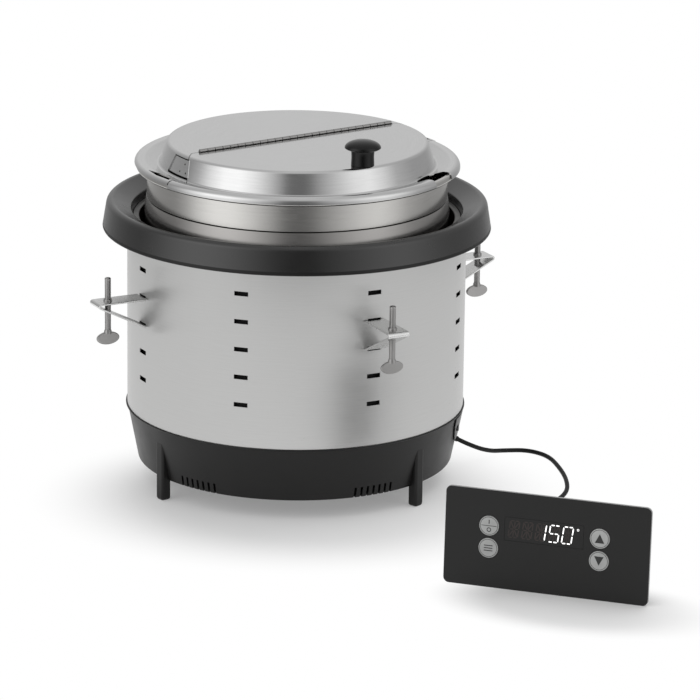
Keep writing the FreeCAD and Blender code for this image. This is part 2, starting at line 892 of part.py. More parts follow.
# Pot
def build_inset_pot():
    body = new_body("inset_pot")
    sheet_wall = size.pot_sheet
    neck_foot = z_rim - size.pot_neck_drop
    shoulder = z_floor + size.pot_body_height
    neck_inside = size.pot_neck_radius - sheet_wall
    body_inside = size.pot_body_radius - sheet_wall
    foot_inside = size.pot_foot_radius - sheet_wall
    turned(body, "wall", [
        (0, z_floor),
        (size.pot_foot_radius, z_floor, size.pot_corner),
        (size.pot_body_radius, shoulder),
        (size.pot_body_radius, neck_foot - size.pot_step),
        (size.pot_neck_radius, neck_foot),
        (size.pot_neck_radius, z_rim - size.pot_rim_height),
        (size.pot_rim_radius, z_rim - size.pot_rim_height, size.pot_rim_round),
        (size.pot_rim_radius, z_rim, size.pot_rim_round),
        (neck_inside, z_rim, size.pot_rim_round / 2),
        (neck_inside, neck_foot + sheet_wall / 2),
        (body_inside, neck_foot - size.pot_step + sheet_wall / 2),
        (body_inside, shoulder),
        (foot_inside, z_floor + sheet_wall, size.pot_corner - sheet_wall),
        (0, z_floor + sheet_wall),
    ])


# Lid
def lid_outline(skirt, edge_round):
    """The lid's pressed sheet: plate, sloped wall, valley in the pot's mouth, and edge rolled over its bead."""
    gauge = size.lid_sheet
    inner_edge = size.lid_radius - gauge
    valley = z_flange - size.lid_valley_drop
    crest = z_flange + size.lid_crest_rise
    valley_radius = slope(size.lid_wall_foot, z_flange, size.lid_plate_radius, z_lid, valley)
    return [
        (0, z_lid),
        (0, z_lid - gauge),
        (size.lid_plate_radius - gauge, z_lid - gauge, size.lid_plate_round - gauge),
        (valley_radius - gauge, valley - gauge, size.lid_valley_round + gauge),
        (size.lid_crest_radius + gauge / 4, crest - gauge, size.lid_crest_round - gauge),
        (inner_edge, crest - gauge, edge_round - gauge),
        (inner_edge, z_flange - skirt),
        (size.lid_radius, z_flange - skirt),
        (size.lid_radius, crest, edge_round),
        (size.lid_crest_radius, crest, size.lid_crest_round),
        (valley_radius, valley, size.lid_valley_round),
        (size.lid_plate_radius, z_lid, size.lid_plate_round),
    ]


def split_lid(body, side):
    """Keep the rear (side 1) or the front (side -1) of the hinge line, with room for the knuckles."""
    far = size.lid_radius * 2
    edge = size.hinge_behind + size.lid_split_gap * side
    half = new_sketch(body, "split", "XY_Plane")
    low, high = (-far, edge) if side > 0 else (edge, far)
    add_loop(half, box_corners(-far, low, far, high))
    pocket(body, half, backwards=True)
    reach = size.hinge_length / 2 + size.fit_gap
    room = size.hinge_behind + (size.knuckle_radius + size.fit_gap) * side
    low, high = (size.hinge_behind, room) if side > 0 else (room, size.hinge_behind)
    slot = new_sketch(body, "knuckle_slot", "XY_Plane")
    add_loop(slot, box_corners(-reach, low, reach, high))
    pocket(body, slot, backwards=True)


def wall_band(inset, sheet_wall):
    """A band of the lid's sloped wall, set in from its outside by an inset and with its own thickness."""
    low = z_flange + size.strip_margin
    high = z_lid - size.lid_plate_round
    radii = [
        slope(size.lid_wall_foot, z_flange, size.lid_plate_radius, z_lid, level) - inset
        for level in (low, high)
    ]
    return [
        (radii[0] - sheet_wall, low),
        (radii[0], low),
        (radii[1], high),
        (radii[1] - sheet_wall, high),
    ]


def split_turns(span):
    """Where a band of the rear wall starts, seen from +X, at each end of the hinge line."""
    rise = arcsine(size.hinge_behind / size.lid_wall_foot)
    return [rise, 180 - rise - span]


def build_lid_rear():
    body = new_body("lid_rear")
    turned(body, "sheet", lid_outline(size.lid_skirt_rear, size.lid_edge_round_rear))
    split_lid(body, 1)
    for index, start in enumerate(split_turns(size.strip_angle)):
        band = wall_band(-size.lid_sheet, size.lid_sheet * 3)
        turned(body, f"window_{index + 1}", band, size.strip_angle, start, cut=True)
    turn_body(body, size.lid_turn)


def build_lid_flap():
    body = new_body("lid_flap")
    turned(body, "sheet", lid_outline(size.lid_skirt_flap, size.lid_edge_round_flap))
    split_lid(body, -1)
    notch = new_sketch(body, "ladle_notch", "XY_Plane", size.notch_turn)
    half = size.notch_width / 2
    outer = size.lid_radius + 1
    add_loop(notch, [
        (-half, -outer),
        (half, -outer),
        (half, -size.notch_inner, size.notch_round),
        (-half, -size.notch_inner, size.notch_round),
    ])
    pocket(body, notch, backwards=True)
    hole = new_sketch(body, "knob_hole", "XY_Plane")
    add_circle(hole, 0, -size.knob_reach, size.knob_screw_radius + size.running_gap)
    pocket(body, hole, backwards=True)
    turn_body(body, size.lid_turn)


def build_lid_joint_strips():
    body = new_body("lid_joint_strips")
    span = size.strip_angle + size.strip_lap * 2
    first, last = split_turns(size.strip_angle)
    for index, start in enumerate((first, last)):
        lean = (size.lid_wall_foot - size.lid_plate_radius) / (z_lid - z_flange)
        band = wall_band(size.lid_sheet * (1 + lean) + size.strip_gap, size.strip_sheet)
        turned(body, f"strip_{index + 1}", band, span, start - size.strip_lap)
    turn_body(body, size.lid_turn)


def build_hinge_leaf(label, side):
    """One leaf under its half of the lid, with every second knuckle round the pin."""
    body = new_body(label)
    pitch = size.hinge_length / size.knuckle_count
    leaf_top = z_lid - size.lid_sheet
    clear = size.knuckle_radius + size.fit_gap
    near = size.hinge_behind + clear * side
    far = size.hinge_behind + size.leaf_width * side
    low, high = (near, far) if side > 0 else (far, near)
    leaf = new_sketch(body, "leaf", "YZ_Plane")
    add_loop(leaf, box_corners(low, leaf_top - size.leaf_sheet, high, leaf_top))
    pad(body, leaf, size.hinge_length, both=True)
    start = -size.hinge_length / 2 + size.knuckle_gap / 2
    if side < 0:
        start = start + pitch
    span = size.hinge_length - pitch * 2
    count = size.knuckle_count / 2
    tongue = new_sketch(body, "tongue", "YZ_Plane", None, start)
    inner = size.hinge_behind
    low, high = (inner, near + size.leaf_sheet) if side > 0 else (near - size.leaf_sheet, inner)
    add_loop(tongue, box_corners(low, leaf_top - size.leaf_sheet, high, leaf_top))
    along(body, pad(body, tongue, pitch - size.knuckle_gap), "X_Axis", span, count)
    barrel = new_sketch(body, "barrel", "YZ_Plane", None, start)
    add_circle(barrel, size.hinge_behind, z_hinge, size.knuckle_radius)
    add_circle(barrel, size.hinge_behind, z_hinge, size.pin_radius + size.running_gap)
    along(body, pad(body, barrel, pitch - size.knuckle_gap), "X_Axis", span, count)
    turn_body(body, size.lid_turn)


def build_hinge_pin():
    body = new_body("hinge_pin")
    section = new_sketch(body, "section", "YZ_Plane")
    add_circle(section, size.hinge_behind, z_hinge, size.pin_radius)
    pad(body, section, size.hinge_length, both=True)
    turn_body(body, size.lid_turn)


def move_to_knob(body):
    """Carry a body built round the upright axis to the knob's place on the flap."""
    turn_body(body, size.lid_turn)
    reach = size.knob_reach
    body.setExpression("Placement.Base.x", (reach * sine(size.lid_turn)).text)
    body.setExpression("Placement.Base.y", (-reach * cosine(size.lid_turn)).text)


def build_lid_knob():
    body = new_body("lid_knob")
    stem = size.knob_stem_radius
    cap = size.knob_cap_radius
    top = z_lid + size.knob_height
    cap_foot = top - size.knob_cap_height
    bore = size.knob_screw_radius + size.running_gap
    bore_top = z_lid + size.knob_screw_length
    turned(body, "section", [
        (bore, z_lid),
        (stem, z_lid),
        (stem, cap_foot),
        (cap, cap_foot + size.knob_cap_height * 0.12, size.knob_cap_height * 0.16),
        (cap * 0.93, top - size.knob_cap_height * 0.38, size.knob_cap_height * 0.35),
        (cap * 0.45, top - size.knob_cap_height * 0.04, size.knob_cap_height * 0.8),
        (0, top),
        (0, bore_top),
        (bore, bore_top),
    ])
    move_to_knob(body)


def build_knob_screw():
    body = new_body("knob_screw")
    under = z_lid - size.lid_sheet
    turned(body, "section", [
        (0, under - size.knob_screw_head_height),
        (size.knob_screw_head, under - size.knob_screw_head_height),
        (size.knob_screw_head, under),
        (size.knob_screw_radius, under),
        (size.knob_screw_radius, z_lid + size.knob_screw_length - size.fit_gap),
        (0, z_lid + size.knob_screw_length - size.fit_gap),
    ])
    move_to_knob(body)


# Induction drive
def former_top():
    return z_floor_under - size.former_drop + size.former_sheet


def build_coil_former():
    """A tray for the coil that presses up under the well's floor and stands on three posts."""
    body = new_body("coil_former")
    disc = z_floor_under - size.former_drop
    inner_rim = size.former_radius - size.former_rim
    turned(body, "tray", [
        (0, disc),
        (size.former_radius, disc),
        (size.former_radius, z_floor_under),
        (inner_rim, z_floor_under),
        (inner_rim, former_top()),
        (0, former_top()),
    ])
    for index, turn in enumerate((None, size.former_post_turn, -size.former_post_turn)):
        post = new_sketch(body, f"post_{index + 1}", "XY_Plane", turn, z_cover)
        add_circle(post, 0, -size.former_post_reach, size.former_post_radius)
        pad(body, post, disc - z_cover)


def build_induction_coil():
    body = new_body("induction_coil")
    top = former_top() + size.coil_height
    turned(body, "winding", [
        (size.coil_inner, former_top()),
        (size.coil_outer, former_top()),
        (size.coil_outer, top),
        (size.coil_inner, top),
    ])


def build_ferrite_bars():
    body = new_body("ferrite_bars")
    under = z_floor_under - size.former_drop
    bar = new_sketch(body, "bar", "XY_Plane", None, under)
    half = size.ferrite_width / 2
    end = size.ferrite_start + size.ferrite_length
    add_loop(bar, box_corners(size.ferrite_start, -half, end, half))
    around(body, pad(body, bar, size.ferrite_height, backwards=True), size.ferrite_count)


def build_temperature_sensor():
    body = new_body("temperature_sensor")
    turned(body, "probe", [
        (0, former_top()),
        (size.sensor_radius, former_top()),
        (size.sensor_radius, z_floor_under - size.board_sheet),
        (size.sensor_radius * 0.7, z_floor_under),
        (0, z_floor_under),
    ])


def board_level():
    return z_cover + size.standoff_height


def build_power_board():
    body = new_body("power_board")
    plate = new_sketch(body, "plate", "XY_Plane", None, board_level())
    half_length = size.board_length / 2
    half_width = size.board_width / 2
    add_loop(plate, box_corners(
        size.board_x - half_length, size.board_y - half_width,
        size.board_x + half_length, size.board_y + half_width,
    ))
    pad(body, plate, size.board_sheet)


def build_board_standoffs():
    body = new_body("board_standoffs")
    posts = new_sketch(body, "posts", "XY_Plane", None, z_cover)
    reach_x = size.board_length / 2 - size.standoff_inset
    reach_y = size.board_width / 2 - size.standoff_inset
    for side_x in (-1, 1):
        for side_y in (-1, 1):
            across = size.board_x + reach_x * side_x
            add_circle(posts, across, size.board_y + reach_y * side_y, size.standoff_radius)
    pad(body, posts, size.standoff_height)


def build_heat_sink():
    body = new_body("heat_sink")
    seat = board_level() + size.board_sheet
    half_length = size.sink_length / 2
    half_width = size.sink_width / 2
    section = new_sketch(body, "base", "XY_Plane", None, seat)
    add_loop(section, box_corners(
        size.board_x - half_length, size.board_y - half_width,
        size.board_x + half_length, size.board_y + half_width,
    ))
    pad(body, section, size.sink_base)
    fins = new_sketch(body, "fins", "XY_Plane", None, seat)
    pitch = (size.sink_width - size.sink_fin) / (SIZES["sink_fins"] - 1)
    for index in range(int(SIZES["sink_fins"])):
        low = size.board_y - half_width + pitch * index
        add_loop(fins, box_corners(
            size.board_x - half_length, low, size.board_x + half_length, low + size.sink_fin,
        ))
    pad(body, fins, size.sink_height)


def move_to_fan(body):
    body.setExpression("Placement.Base.x", size.fan_x.text)
    body.setExpression("Placement.Base.y", size.fan_y.text)


def build_fan_frame():
    body = new_body("fan_frame")
    half = size.fan_size / 2
    frame = new_sketch(body, "frame", "XY_Plane", None, z_cover)
    add_loop(frame, box_corners(-half, -half, half, half))
    add_circle(frame, 0, 0, size.fan_bore)
    pad(body, frame, size.fan_height)
    strut = new_sketch(body, "strut", "XY_Plane", None, z_cover)
    half_strut = size.fan_strut / 2
    strut_end = size.fan_bore + size.fan_blade_inset
    add_loop(strut, box_corners(size.fan_hub / 2, -half_strut, strut_end, half_strut))
    around(body, pad(body, strut, size.fan_plate), size.fan_struts)
    hub = new_sketch(body, "hub", "XY_Plane", None, z_cover)
    add_circle(hub, 0, 0, size.fan_hub)
    add_circle(hub, 0, 0, size.fan_shaft + size.running_gap)
    pad(body, hub, size.fan_plate)
    move_to_fan(body)


def build_fan_rotor():
    body = new_body("fan_rotor")
    low = z_cover + size.fan_plate + size.fit_gap
    high = z_cover + size.fan_height - size.fan_blade_inset
    turned(body, "hub", [
        (0, z_cover + size.fan_shaft_gap),
        (size.fan_shaft, z_cover + size.fan_shaft_gap),
        (size.fan_shaft, low),
        (size.fan_hub, low),
        (size.fan_hub, high),
        (0, high),
    ])
    blade = new_sketch(body, "blade", "XZ_Plane")
    reach = size.fan_hub / 2
    gauge = size.fan_blade_sheet
    add_loop(blade, [
        (-reach, low + size.fan_blade_inset),
        (-reach + gauge, low + size.fan_blade_inset),
        (reach, high - size.fan_blade_inset),
        (reach - gauge, high - size.fan_blade_inset),
    ])
    around(body, pad(body, blade, size.fan_tip), size.fan_blades)
    move_to_fan(body)


# Grommet, gland and cable
def grommet_direction():
    turn = math.radians(SIZES["grommet_turn"])
    tilt = math.radians(SIZES["grommet_tilt"])
    flat = math.cos(tilt)
    return FreeCAD.Vector(flat * math.sin(turn), -flat * math.cos(turn), -math.sin(tilt))


def grommet_root():
    turn = math.radians(SIZES["grommet_turn"])
    height = (z_base + size.grommet_height * 0.6).number
    radius = base_wall_radius(z_base + size.grommet_height * 0.6).number
    return FreeCAD.Vector(radius * math.sin(turn), -radius * math.cos(turn), height)


def build_cable_grommet():
    """A block that fills the notch in the base's foot, with a tapered nose that points down and out."""
    block = doc.addObject("Part::Box", "cable_grommet_block")
    inner = size.base_radius - size.base_wall
    block.setExpression("Length", (size.base_wall + size.base_lip_depth).text)
    block.setExpression("Width", (size.grommet_width - size.fit_gap * 2).text)
    block.setExpression("Height", (size.grommet_height - size.fit_gap - size.base_flange_height).text)
    turn = math.radians(SIZES["grommet_turn"] - 90)
    corner = FreeCAD.Vector(inner.number, -(size.grommet_width.number / 2 - SIZES["fit_gap"]), 0)
    spin = FreeCAD.Rotation(FreeCAD.Vector(0, 0, 1), math.degrees(turn))
    corner.z = (z_base + size.base_flange_height).number
    block.Placement = FreeCAD.Placement(spin.multVec(corner), spin)
    nose = doc.addObject("Part::Cone", "cable_grommet_nose")
    nose.setExpression("Radius1", size.grommet_root_radius.text)
    nose.setExpression("Radius2", size.grommet_tip_radius.text)
    nose.setExpression("Height", size.grommet_nose.text)
    direction = grommet_direction()
    start = grommet_root() - direction * size.base_wall.number
    nose.Placement = FreeCAD.Placement(start, FreeCAD.Rotation(FreeCAD.Vector(0, 0, 1), direction))
    fused = doc.addObject("Part::Fuse", "cable_grommet")
    fused.Base = block
    fused.Tool = nose
    fused.Label = "cable_grommet"
    nodes.append(fused)


def build_mains_gland():
    """The bare entry for the mains lead, at the back."""
    body = new_body("mains_gland")
    height = z_base + size.gland_height
    seat = base_wall_radius(height + size.gland_nut_radius)
    stub = new_sketch(body, "stub", "XZ_Plane", None, -(seat + size.gland_nut_height))
    add_circle(stub, 0, height, size.gland_radius - size.fit_gap)
    pad(body, stub, size.gland_length)
    nut = new_sketch(body, "nut", "XZ_Plane", None, -seat)
    add_circle(nut, 0, height, size.gland_nut_radius)
    pad(body, nut, size.gland_nut_height, backwards=True)
    bore = new_sketch(body, "bore", "XZ_Plane")
    add_circle(bore, 0, height, size.gland_radius * 0.55)
    pocket(body, bore)


def panel_placement():
    """The panel leans back until the foot of its housing meets the floor."""
    depth = SIZES["panel_sheet"] + SIZES["housing_depth"]
    lean = math.degrees(math.atan(SIZES["housing_margin"] / depth))
    yaw = FreeCAD.Rotation(FreeCAD.Vector(0, 0, 1), -SIZES["panel_yaw"])
    tip = FreeCAD.Rotation(FreeCAD.Vector(1, 0, 0), -lean)
    return FreeCAD.Placement(FreeCAD.Vector(SIZES["panel_x"], SIZES["panel_y"], 0), yaw.multiply(tip))


def housing_back():
    return size.panel_sheet + size.housing_depth


def panel_point(across, back, up):
    return panel_placement().multVec(FreeCAD.Vector(across, back, up))


def cable_route():
    """The cable's points, leaving both grommets straight for a short run."""
    start = grommet_root() + grommet_direction() * (size.grommet_nose - size.base_wall).number
    first = start + grommet_direction() * SIZES["cable_straight"]
    back = (housing_back() + size.panel_grommet_length).number
    across = SIZES["panel_grommet_x"]
    up = SIZES["panel_grommet_height"]
    end = panel_point(across, back, up)
    last = panel_point(across, back + SIZES["cable_straight"], up)
    return [start, first] + [FreeCAD.Vector(*point) for point in CABLE_POINTS] + [last, end]


def build_control_cable():
    """A round cable along straight runs joined by the largest tangent arcs that they allow."""
    points = cable_route()
    edges = []
    radii = []
    position = points[0]
    for before, corner, after in zip(points, points[1:], points[2:]):
        back = (before - corner).normalize()
        ahead = (after - corner).normalize()
        half_turn = (math.pi - back.getAngle(ahead)) / 2
        reach = 0.45 * min((before - corner).Length, (after - corner).Length)
        radius = reach / math.tan(half_turn)
        enter = corner + back * reach
        leave = corner + ahead * reach
        inward = (back + ahead).normalize()
        middle = corner + inward * (radius / math.cos(half_turn) - radius)
        edges.append(Part.LineSegment(position, enter).toShape())
        edges.append(Part.Arc(enter, middle, leave).toShape())
        radii.append(radius)
        position = leave
    edges.append(Part.LineSegment(position, points[-1]).toShape())
    path = Part.Wire(edges)
    heading = (points[1] - points[0]).normalize()
    section = Part.Wire(Part.Circle(points[0], heading, SIZES["cable_radius"]).toShape())
    tube = path.makePipeShell([section], True, False)
    cable = doc.addObject("Part::Feature", "control_cable")
    cable.Label = "control_cable"
    cable.Shape = tube
    nodes.append(cable)
    runs = [(b - a).Length for a, b in zip(points, points[1:])]
    print("cable length", round(path.Length, 1), "runs", [round(run) for run in runs])
    print("cable radii", [round(radius) for radius in radii])
    print("cable volume ratio", tube.Volume / (math.pi * SIZES["cable_radius"] ** 2 * path.Length))


# Control panel, built upright with its face on the XZ plane and then set in place
def new_panel_body(label):
    body = new_body(label)
    body.Placement = panel_placement()
    return body


def panel_sketch(body, name, back=None):
    return new_sketch(body, name, "XZ_Plane", None, -back if back else None)


def boss_places():
    reach = size.housing_width / 2 - size.boss_inset
    low = size.housing_margin + size.boss_inset
    high = size.panel_height - size.housing_margin - size.boss_inset
    return [(reach * side, level) for side in (-1, 1) for level in (low, high)]


def button_places():
    return {
        "power_button": (size.button_left, size.button_high),
        "function_button": (size.button_left, size.button_low),
        "up_button": (size.button_right, size.button_high),
        "down_button": (size.button_right, size.button_low),
    }


def board_front():
    return size.panel_sheet + size.panel_board_back


def build_panel_faceplate():
    body = new_panel_body("panel_faceplate")
    half = size.panel_width / 2
    plate = panel_sketch(body, "plate")
    add_loop(plate, round_box(-half, 0, half, size.panel_height, size.panel_corner))
    for place in button_places().values():
        add_circle(plate, place[0], place[1], size.button_radius + size.button_gap)
    window = box_corners(size.window_left, size.window_low, size.window_right, size.window_high)
    add_loop(plate, window)
    pad(body, plate, size.panel_sheet, backwards=True)
    bosses = panel_sketch(body, "bosses", size.panel_sheet)
    for place in boss_places():
        add_circle(bosses, place[0], place[1], size.boss_radius)
        add_circle(bosses, place[0], place[1], size.panel_screw_radius + size.running_gap)
    pad(body, bosses, size.panel_board_back, backwards=True)


def build_panel_housing():
    body = new_panel_body("panel_housing")
    wall = size.housing_wall
    half = size.housing_width / 2
    low = size.housing_margin
    high = size.panel_height - size.housing_margin
    shell = panel_sketch(body, "shell", size.panel_sheet)
    add_loop(shell, round_box(-half, low, half, high, size.housing_corner))
    pad(body, shell, size.housing_depth, backwards=True)
    hollow = panel_sketch(body, "hollow", size.panel_sheet)
    corner = size.housing_corner - wall
    add_loop(hollow, round_box(-half + wall, low + wall, half - wall, high - wall, corner))
    pocket(body, hollow, size.housing_depth - wall)
    board_back = board_front() + size.board_sheet
    posts = panel_sketch(body, "posts", board_back)
    for place in boss_places():
        add_circle(posts, place[0], place[1], size.boss_radius)
    pad(body, posts, housing_back() - wall / 2 - board_back, backwards=True)
    holes = panel_sketch(body, "screw_holes", board_back)
    for place in boss_places():
        add_circle(holes, place[0], place[1], size.panel_screw_radius + size.button_gap)
    pocket(body, holes)


def build_panel_screws():
    body = new_panel_body("panel_screws")
    heads = panel_sketch(body, "heads", housing_back())
    shanks = panel_sketch(body, "shanks", size.panel_sheet + size.panel_screw_bite)
    for place in boss_places():
        add_circle(heads, place[0], place[1], size.panel_screw_head)
        add_circle(shanks, place[0], place[1], size.panel_screw_radius)
    pad(body, heads, size.panel_screw_head_height, backwards=True)
    pad(body, shanks, housing_back() - size.panel_sheet - size.panel_screw_bite, backwards=True)


def build_display_window():
    body = new_panel_body("display_window")
    gap = size.window_gap
    pane = panel_sketch(body, "pane")
    add_loop(pane, box_corners(
        size.window_left + gap, size.window_low + gap, size.window_right - gap, size.window_high - gap,
    ))
    pad(body, pane, size.window_sheet, backwards=True)


def build_display_module():
    body = new_panel_body("display_module")
    margin = size.module_margin
    front = size.window_sheet + size.window_gap
    block = panel_sketch(body, "block", front)
    add_loop(block, box_corners(
        size.window_left + margin, size.window_low + margin,
        size.window_right - margin, size.window_high - margin,
    ))
    pad(body, block, board_front() - front, backwards=True)


def build_panel_board():
    body = new_panel_body("panel_board")
    margin = size.housing_wall + size.panel_board_margin
    half = size.housing_width / 2 - margin
    low = size.housing_margin + margin
    high = size.panel_height - size.housing_margin - margin
    board = panel_sketch(body, "board", board_front())
    add_loop(board, box_corners(-half, low, half, high))
    for place in boss_places():
        add_circle(board, place[0], place[1], size.panel_screw_radius + size.button_gap)
    pad(body, board, size.board_sheet, backwards=True)


def build_tact_switches():
    body = new_panel_body("tact_switches")
    switches = panel_sketch(body, "switches", board_front() - size.switch_height)
    half = size.switch_size / 2
    for across, up in button_places().values():
        add_loop(switches, box_corners(across - half, up - half, across + half, up + half))
    pad(body, switches, size.switch_height, backwards=True)


def build_button(label):
    """A round cap flush with the face, with a retaining flange behind the plate and a stem to its switch."""
    across, up = button_places()[label]
    body = new_panel_body(label)
    flange = size.panel_sheet + size.button_stop_gap
    stem_end = board_front() - size.switch_height - size.button_rest_gap
    cap = panel_sketch(body, "cap", -size.button_proud)
    add_circle(cap, across, up, size.button_radius)
    pad(body, cap, flange + size.button_proud, backwards=True)
    stop = panel_sketch(body, "stop", flange)
    add_circle(stop, across, up, size.button_flange)
    pad(body, stop, size.button_flange_sheet, backwards=True)
    stem = panel_sketch(body, "stem", flange)
    add_circle(stem, across, up, size.button_stem)
    pad(body, stem, stem_end - flange, backwards=True)


def build_panel_grommet():
    grommet = doc.addObject("Part::Cone", "panel_grommet")
    grommet.Label = "panel_grommet"
    grommet.setExpression("Radius1", (size.grommet_root_radius + size.cable_radius / 2).text)
    grommet.setExpression("Radius2", size.grommet_tip_radius.text)
    grommet.setExpression("Height", size.panel_grommet_length.text)
    seat = FreeCAD.Vector(SIZES["panel_grommet_x"], housing_back().number, SIZES["panel_grommet_height"])
    backward = FreeCAD.Rotation(FreeCAD.Vector(0, 0, 1), FreeCAD.Vector(0, 1, 0))
    grommet.Placement = panel_placement().multiply(FreeCAD.Placement(seat, backward))
    nodes.append(grommet)


def build_all():
    build_base_tray()
    build_terminal_cover()
    build_terminal_cover_screws()
    build_feet()
    build_bottom_cover()
    build_cover_screws()
    build_outer_shell()
    build_insulation_sleeve()
    build_well_liner()
    build_well_floor()
    build_top_ring()
    for index in range(int(SIZES["clamp_count"])):
        build_clamp_bracket(index)
        build_clamp_screw(index)
    build_clamp_nuts()
    build_inset_pot()
    build_lid_rear()
    build_lid_flap()
    build_lid_joint_strips()
    build_hinge_leaf("hinge_leaf_rear", 1)
    build_hinge_leaf("hinge_leaf_flap", -1)
    build_hinge_pin()
    build_lid_knob()
    build_knob_screw()
    build_coil_former()
    build_induction_coil()
    build_ferrite_bars()
    build_temperature_sensor()
    build_power_board()
    build_board_standoffs()
    build_heat_sink()
    build_fan_frame()
    build_fan_rotor()
    build_cable_grommet()
    build_mains_gland()
    build_panel_faceplate()
    build_panel_housing()
    build_panel_screws()
    build_display_window()
    build_display_module()
    build_panel_board()
    build_tact_switches()
    for label in button_places():
        build_button(label)
    build_panel_grommet()
    build_control_cable()


def check_and_write():
    """Stop on a failed feature or a bad solid, then write one file per piece."""
    doc.recompute()
    for item in doc.Objects:
        if "Invalid" in item.State or "Error" in item.State:
            raise RuntimeError(f"{item.Name} failed: {item.State}")
    for node in nodes:
        if node.Shape.isNull() or not node.Shape.isValid() or not node.Shape.Solids:
            raise RuntimeError(f"{node.Label} has no valid solid")
    os.makedirs("parts", exist_ok=True)
    for node in nodes:
        node.Shape.exportStep(f"parts/{node.Label}.step")


build_all()
check_and_write()
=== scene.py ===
import math

import bmesh
import bpy
from mathutils import Matrix, Vector


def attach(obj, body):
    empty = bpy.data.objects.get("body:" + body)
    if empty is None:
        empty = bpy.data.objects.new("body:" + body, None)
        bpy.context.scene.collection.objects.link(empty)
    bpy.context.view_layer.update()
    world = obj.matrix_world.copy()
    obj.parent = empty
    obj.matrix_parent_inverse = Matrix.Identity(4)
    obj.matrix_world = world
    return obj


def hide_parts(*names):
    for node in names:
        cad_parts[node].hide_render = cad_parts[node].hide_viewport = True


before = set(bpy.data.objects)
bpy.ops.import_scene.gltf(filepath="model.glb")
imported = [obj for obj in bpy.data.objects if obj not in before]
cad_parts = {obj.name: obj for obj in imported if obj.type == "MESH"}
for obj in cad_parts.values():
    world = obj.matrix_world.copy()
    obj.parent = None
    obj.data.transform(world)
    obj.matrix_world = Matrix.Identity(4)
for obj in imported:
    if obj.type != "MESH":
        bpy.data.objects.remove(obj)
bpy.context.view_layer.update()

# Sizes are in millimetres and are scaled once, where a mesh is made
MM = 0.001
SEGMENTS = 192

# Levels above the floor
Z_BASE = 18.0
Z_SHELL = 67.5
Z_BASE_TOP = Z_SHELL - 1.5
Z_RING = 231.0
Z_LEDGE = 239.5
Z_RING_TOP = 257.3
Z_FLOOR = 85.0
Z_CREASE = 258.5
Z_RIM = 289.6
Z_LID = 308.0
Z_HINGE = 308.9

# Ring and well
RING_RADIUS = 173.0
RING_CROWN_RADIUS = 168.5
RING_BORE = 143.0
RING_LIP = Z_RING - 1.0
# Height of the ring's lower band that takes the base's duller finish as painted shade
RING_SHADE_BAND = 3.2
WELL_RADIUS = 141.0
WELL_FLANGE = 145.2
WELL_HOLE = 127.0
WELL_BOTTOM = 80.0
WELL_SHEET = 1.0

# Shell and its slots
SHELL_RADIUS = 151.0
SHELL_SHEET = 0.8
SLOT_WIDTH = 12.7
SLOT_HEIGHT = 4.0
SLOT_LEVELS = [206.0, 181.0, 156.0, 131.0, 106.0]
SLOT_TURN = 26.7
SLOT_COLUMNS = 8

# Base with its vents, feet, access cover and mains gland
BASE_RADIUS = 141.2
BASE_TOP_RADIUS = 150.6
BASE_LIP_RADIUS = 152.3
BASE_LIP = Z_SHELL + 0.2
BASE_BORE = 135.4
BASE_LEDGE = 132.0
BASE_LEDGE_LOW = 19.5
BASE_LEDGE_TOP = 21.0
BASE_TURN = -3.7
VENT_HALF_ANGLE = 32.9
VENT_COUNT = 7
VENT_PITCH = 5.9
VENT_WIDTH = 2.2
VENT_TOP = 27.8
FOOT_HALF_ANGLE = 51.25
FOOT_TURN = -2.8
FOOT_WIDTH = 10.4
FOOT_INNER = 139.6
FOOT_OUTER = 148.0
FOOT_TOP = 67.0
FOOT_CORNER = 2.2
HATCH_TURN = 72.0
HATCH_ANGLE = 44.0
HATCH_EDGE = 142.8
HATCH_LOW = 40.0
HATCH_HIGH = 65.0
HATCH_DEPTH = 1.5
HATCH_GAP = 0.3
HATCH_SIDE_GAP = 0.12
HATCH_PROUD = 1.2
GLAND_HEIGHT = 42.0
GLAND_RADIUS = 11.5
GLAND_NECK = 7.7
GLAND_BORE = 4.4
GLAND_HOLE = 8.0
GLAND_PROUD = 8.0
GLAND_DEPTH = 18.0
GLAND_GRIPS = 18

# Clamps
CLAMP_COUNT = 4
CLAMP_TOP = 181.75
CLAMP_LOW = 155.25
CLAMP_ROOT = 147.5
CLAMP_NECK = 152.2
CLAMP_REACH = 204.5
CLAMP_STRAP = 1.5
CLAMP_EDGE = 0.3
CLAMP_WIDTH = 20.0
CLAMP_TAB_WIDTH = 12.0
CLAMP_HOLE = 3.0
COLLAR_BORE = 2.85
COLLAR_RADIUS = 3.8
COLLAR_HEIGHT = 1.8
SCREW_REACH = 184.5
SCREW_RADIUS = 2.8
SCREW_TOP = 202.6
SCREW_BOTTOM = 153.5
SCREW_TIP = 1.2
SCREW_CHAMFER = 0.7
THUMB_WIDTH = 21.5
THUMB_HEIGHT = 11.5
THUMB_SHEET = 3.0
THREAD_PITCH = 0.8
THREAD_DEPTH = 0.3
THREAD_FADE = 1.5

# Pot
POT_BEAD_RADIUS = 142.9
POT_BEAD_HEIGHT = 6.4
POT_NECK_RADIUS = 133.6
POT_NECK_INNER = 132.3
POT_SHEET = 1.0
GROOVE_LOW = Z_CREASE - 0.6
GROOVE_HIGH = Z_CREASE + 0.5

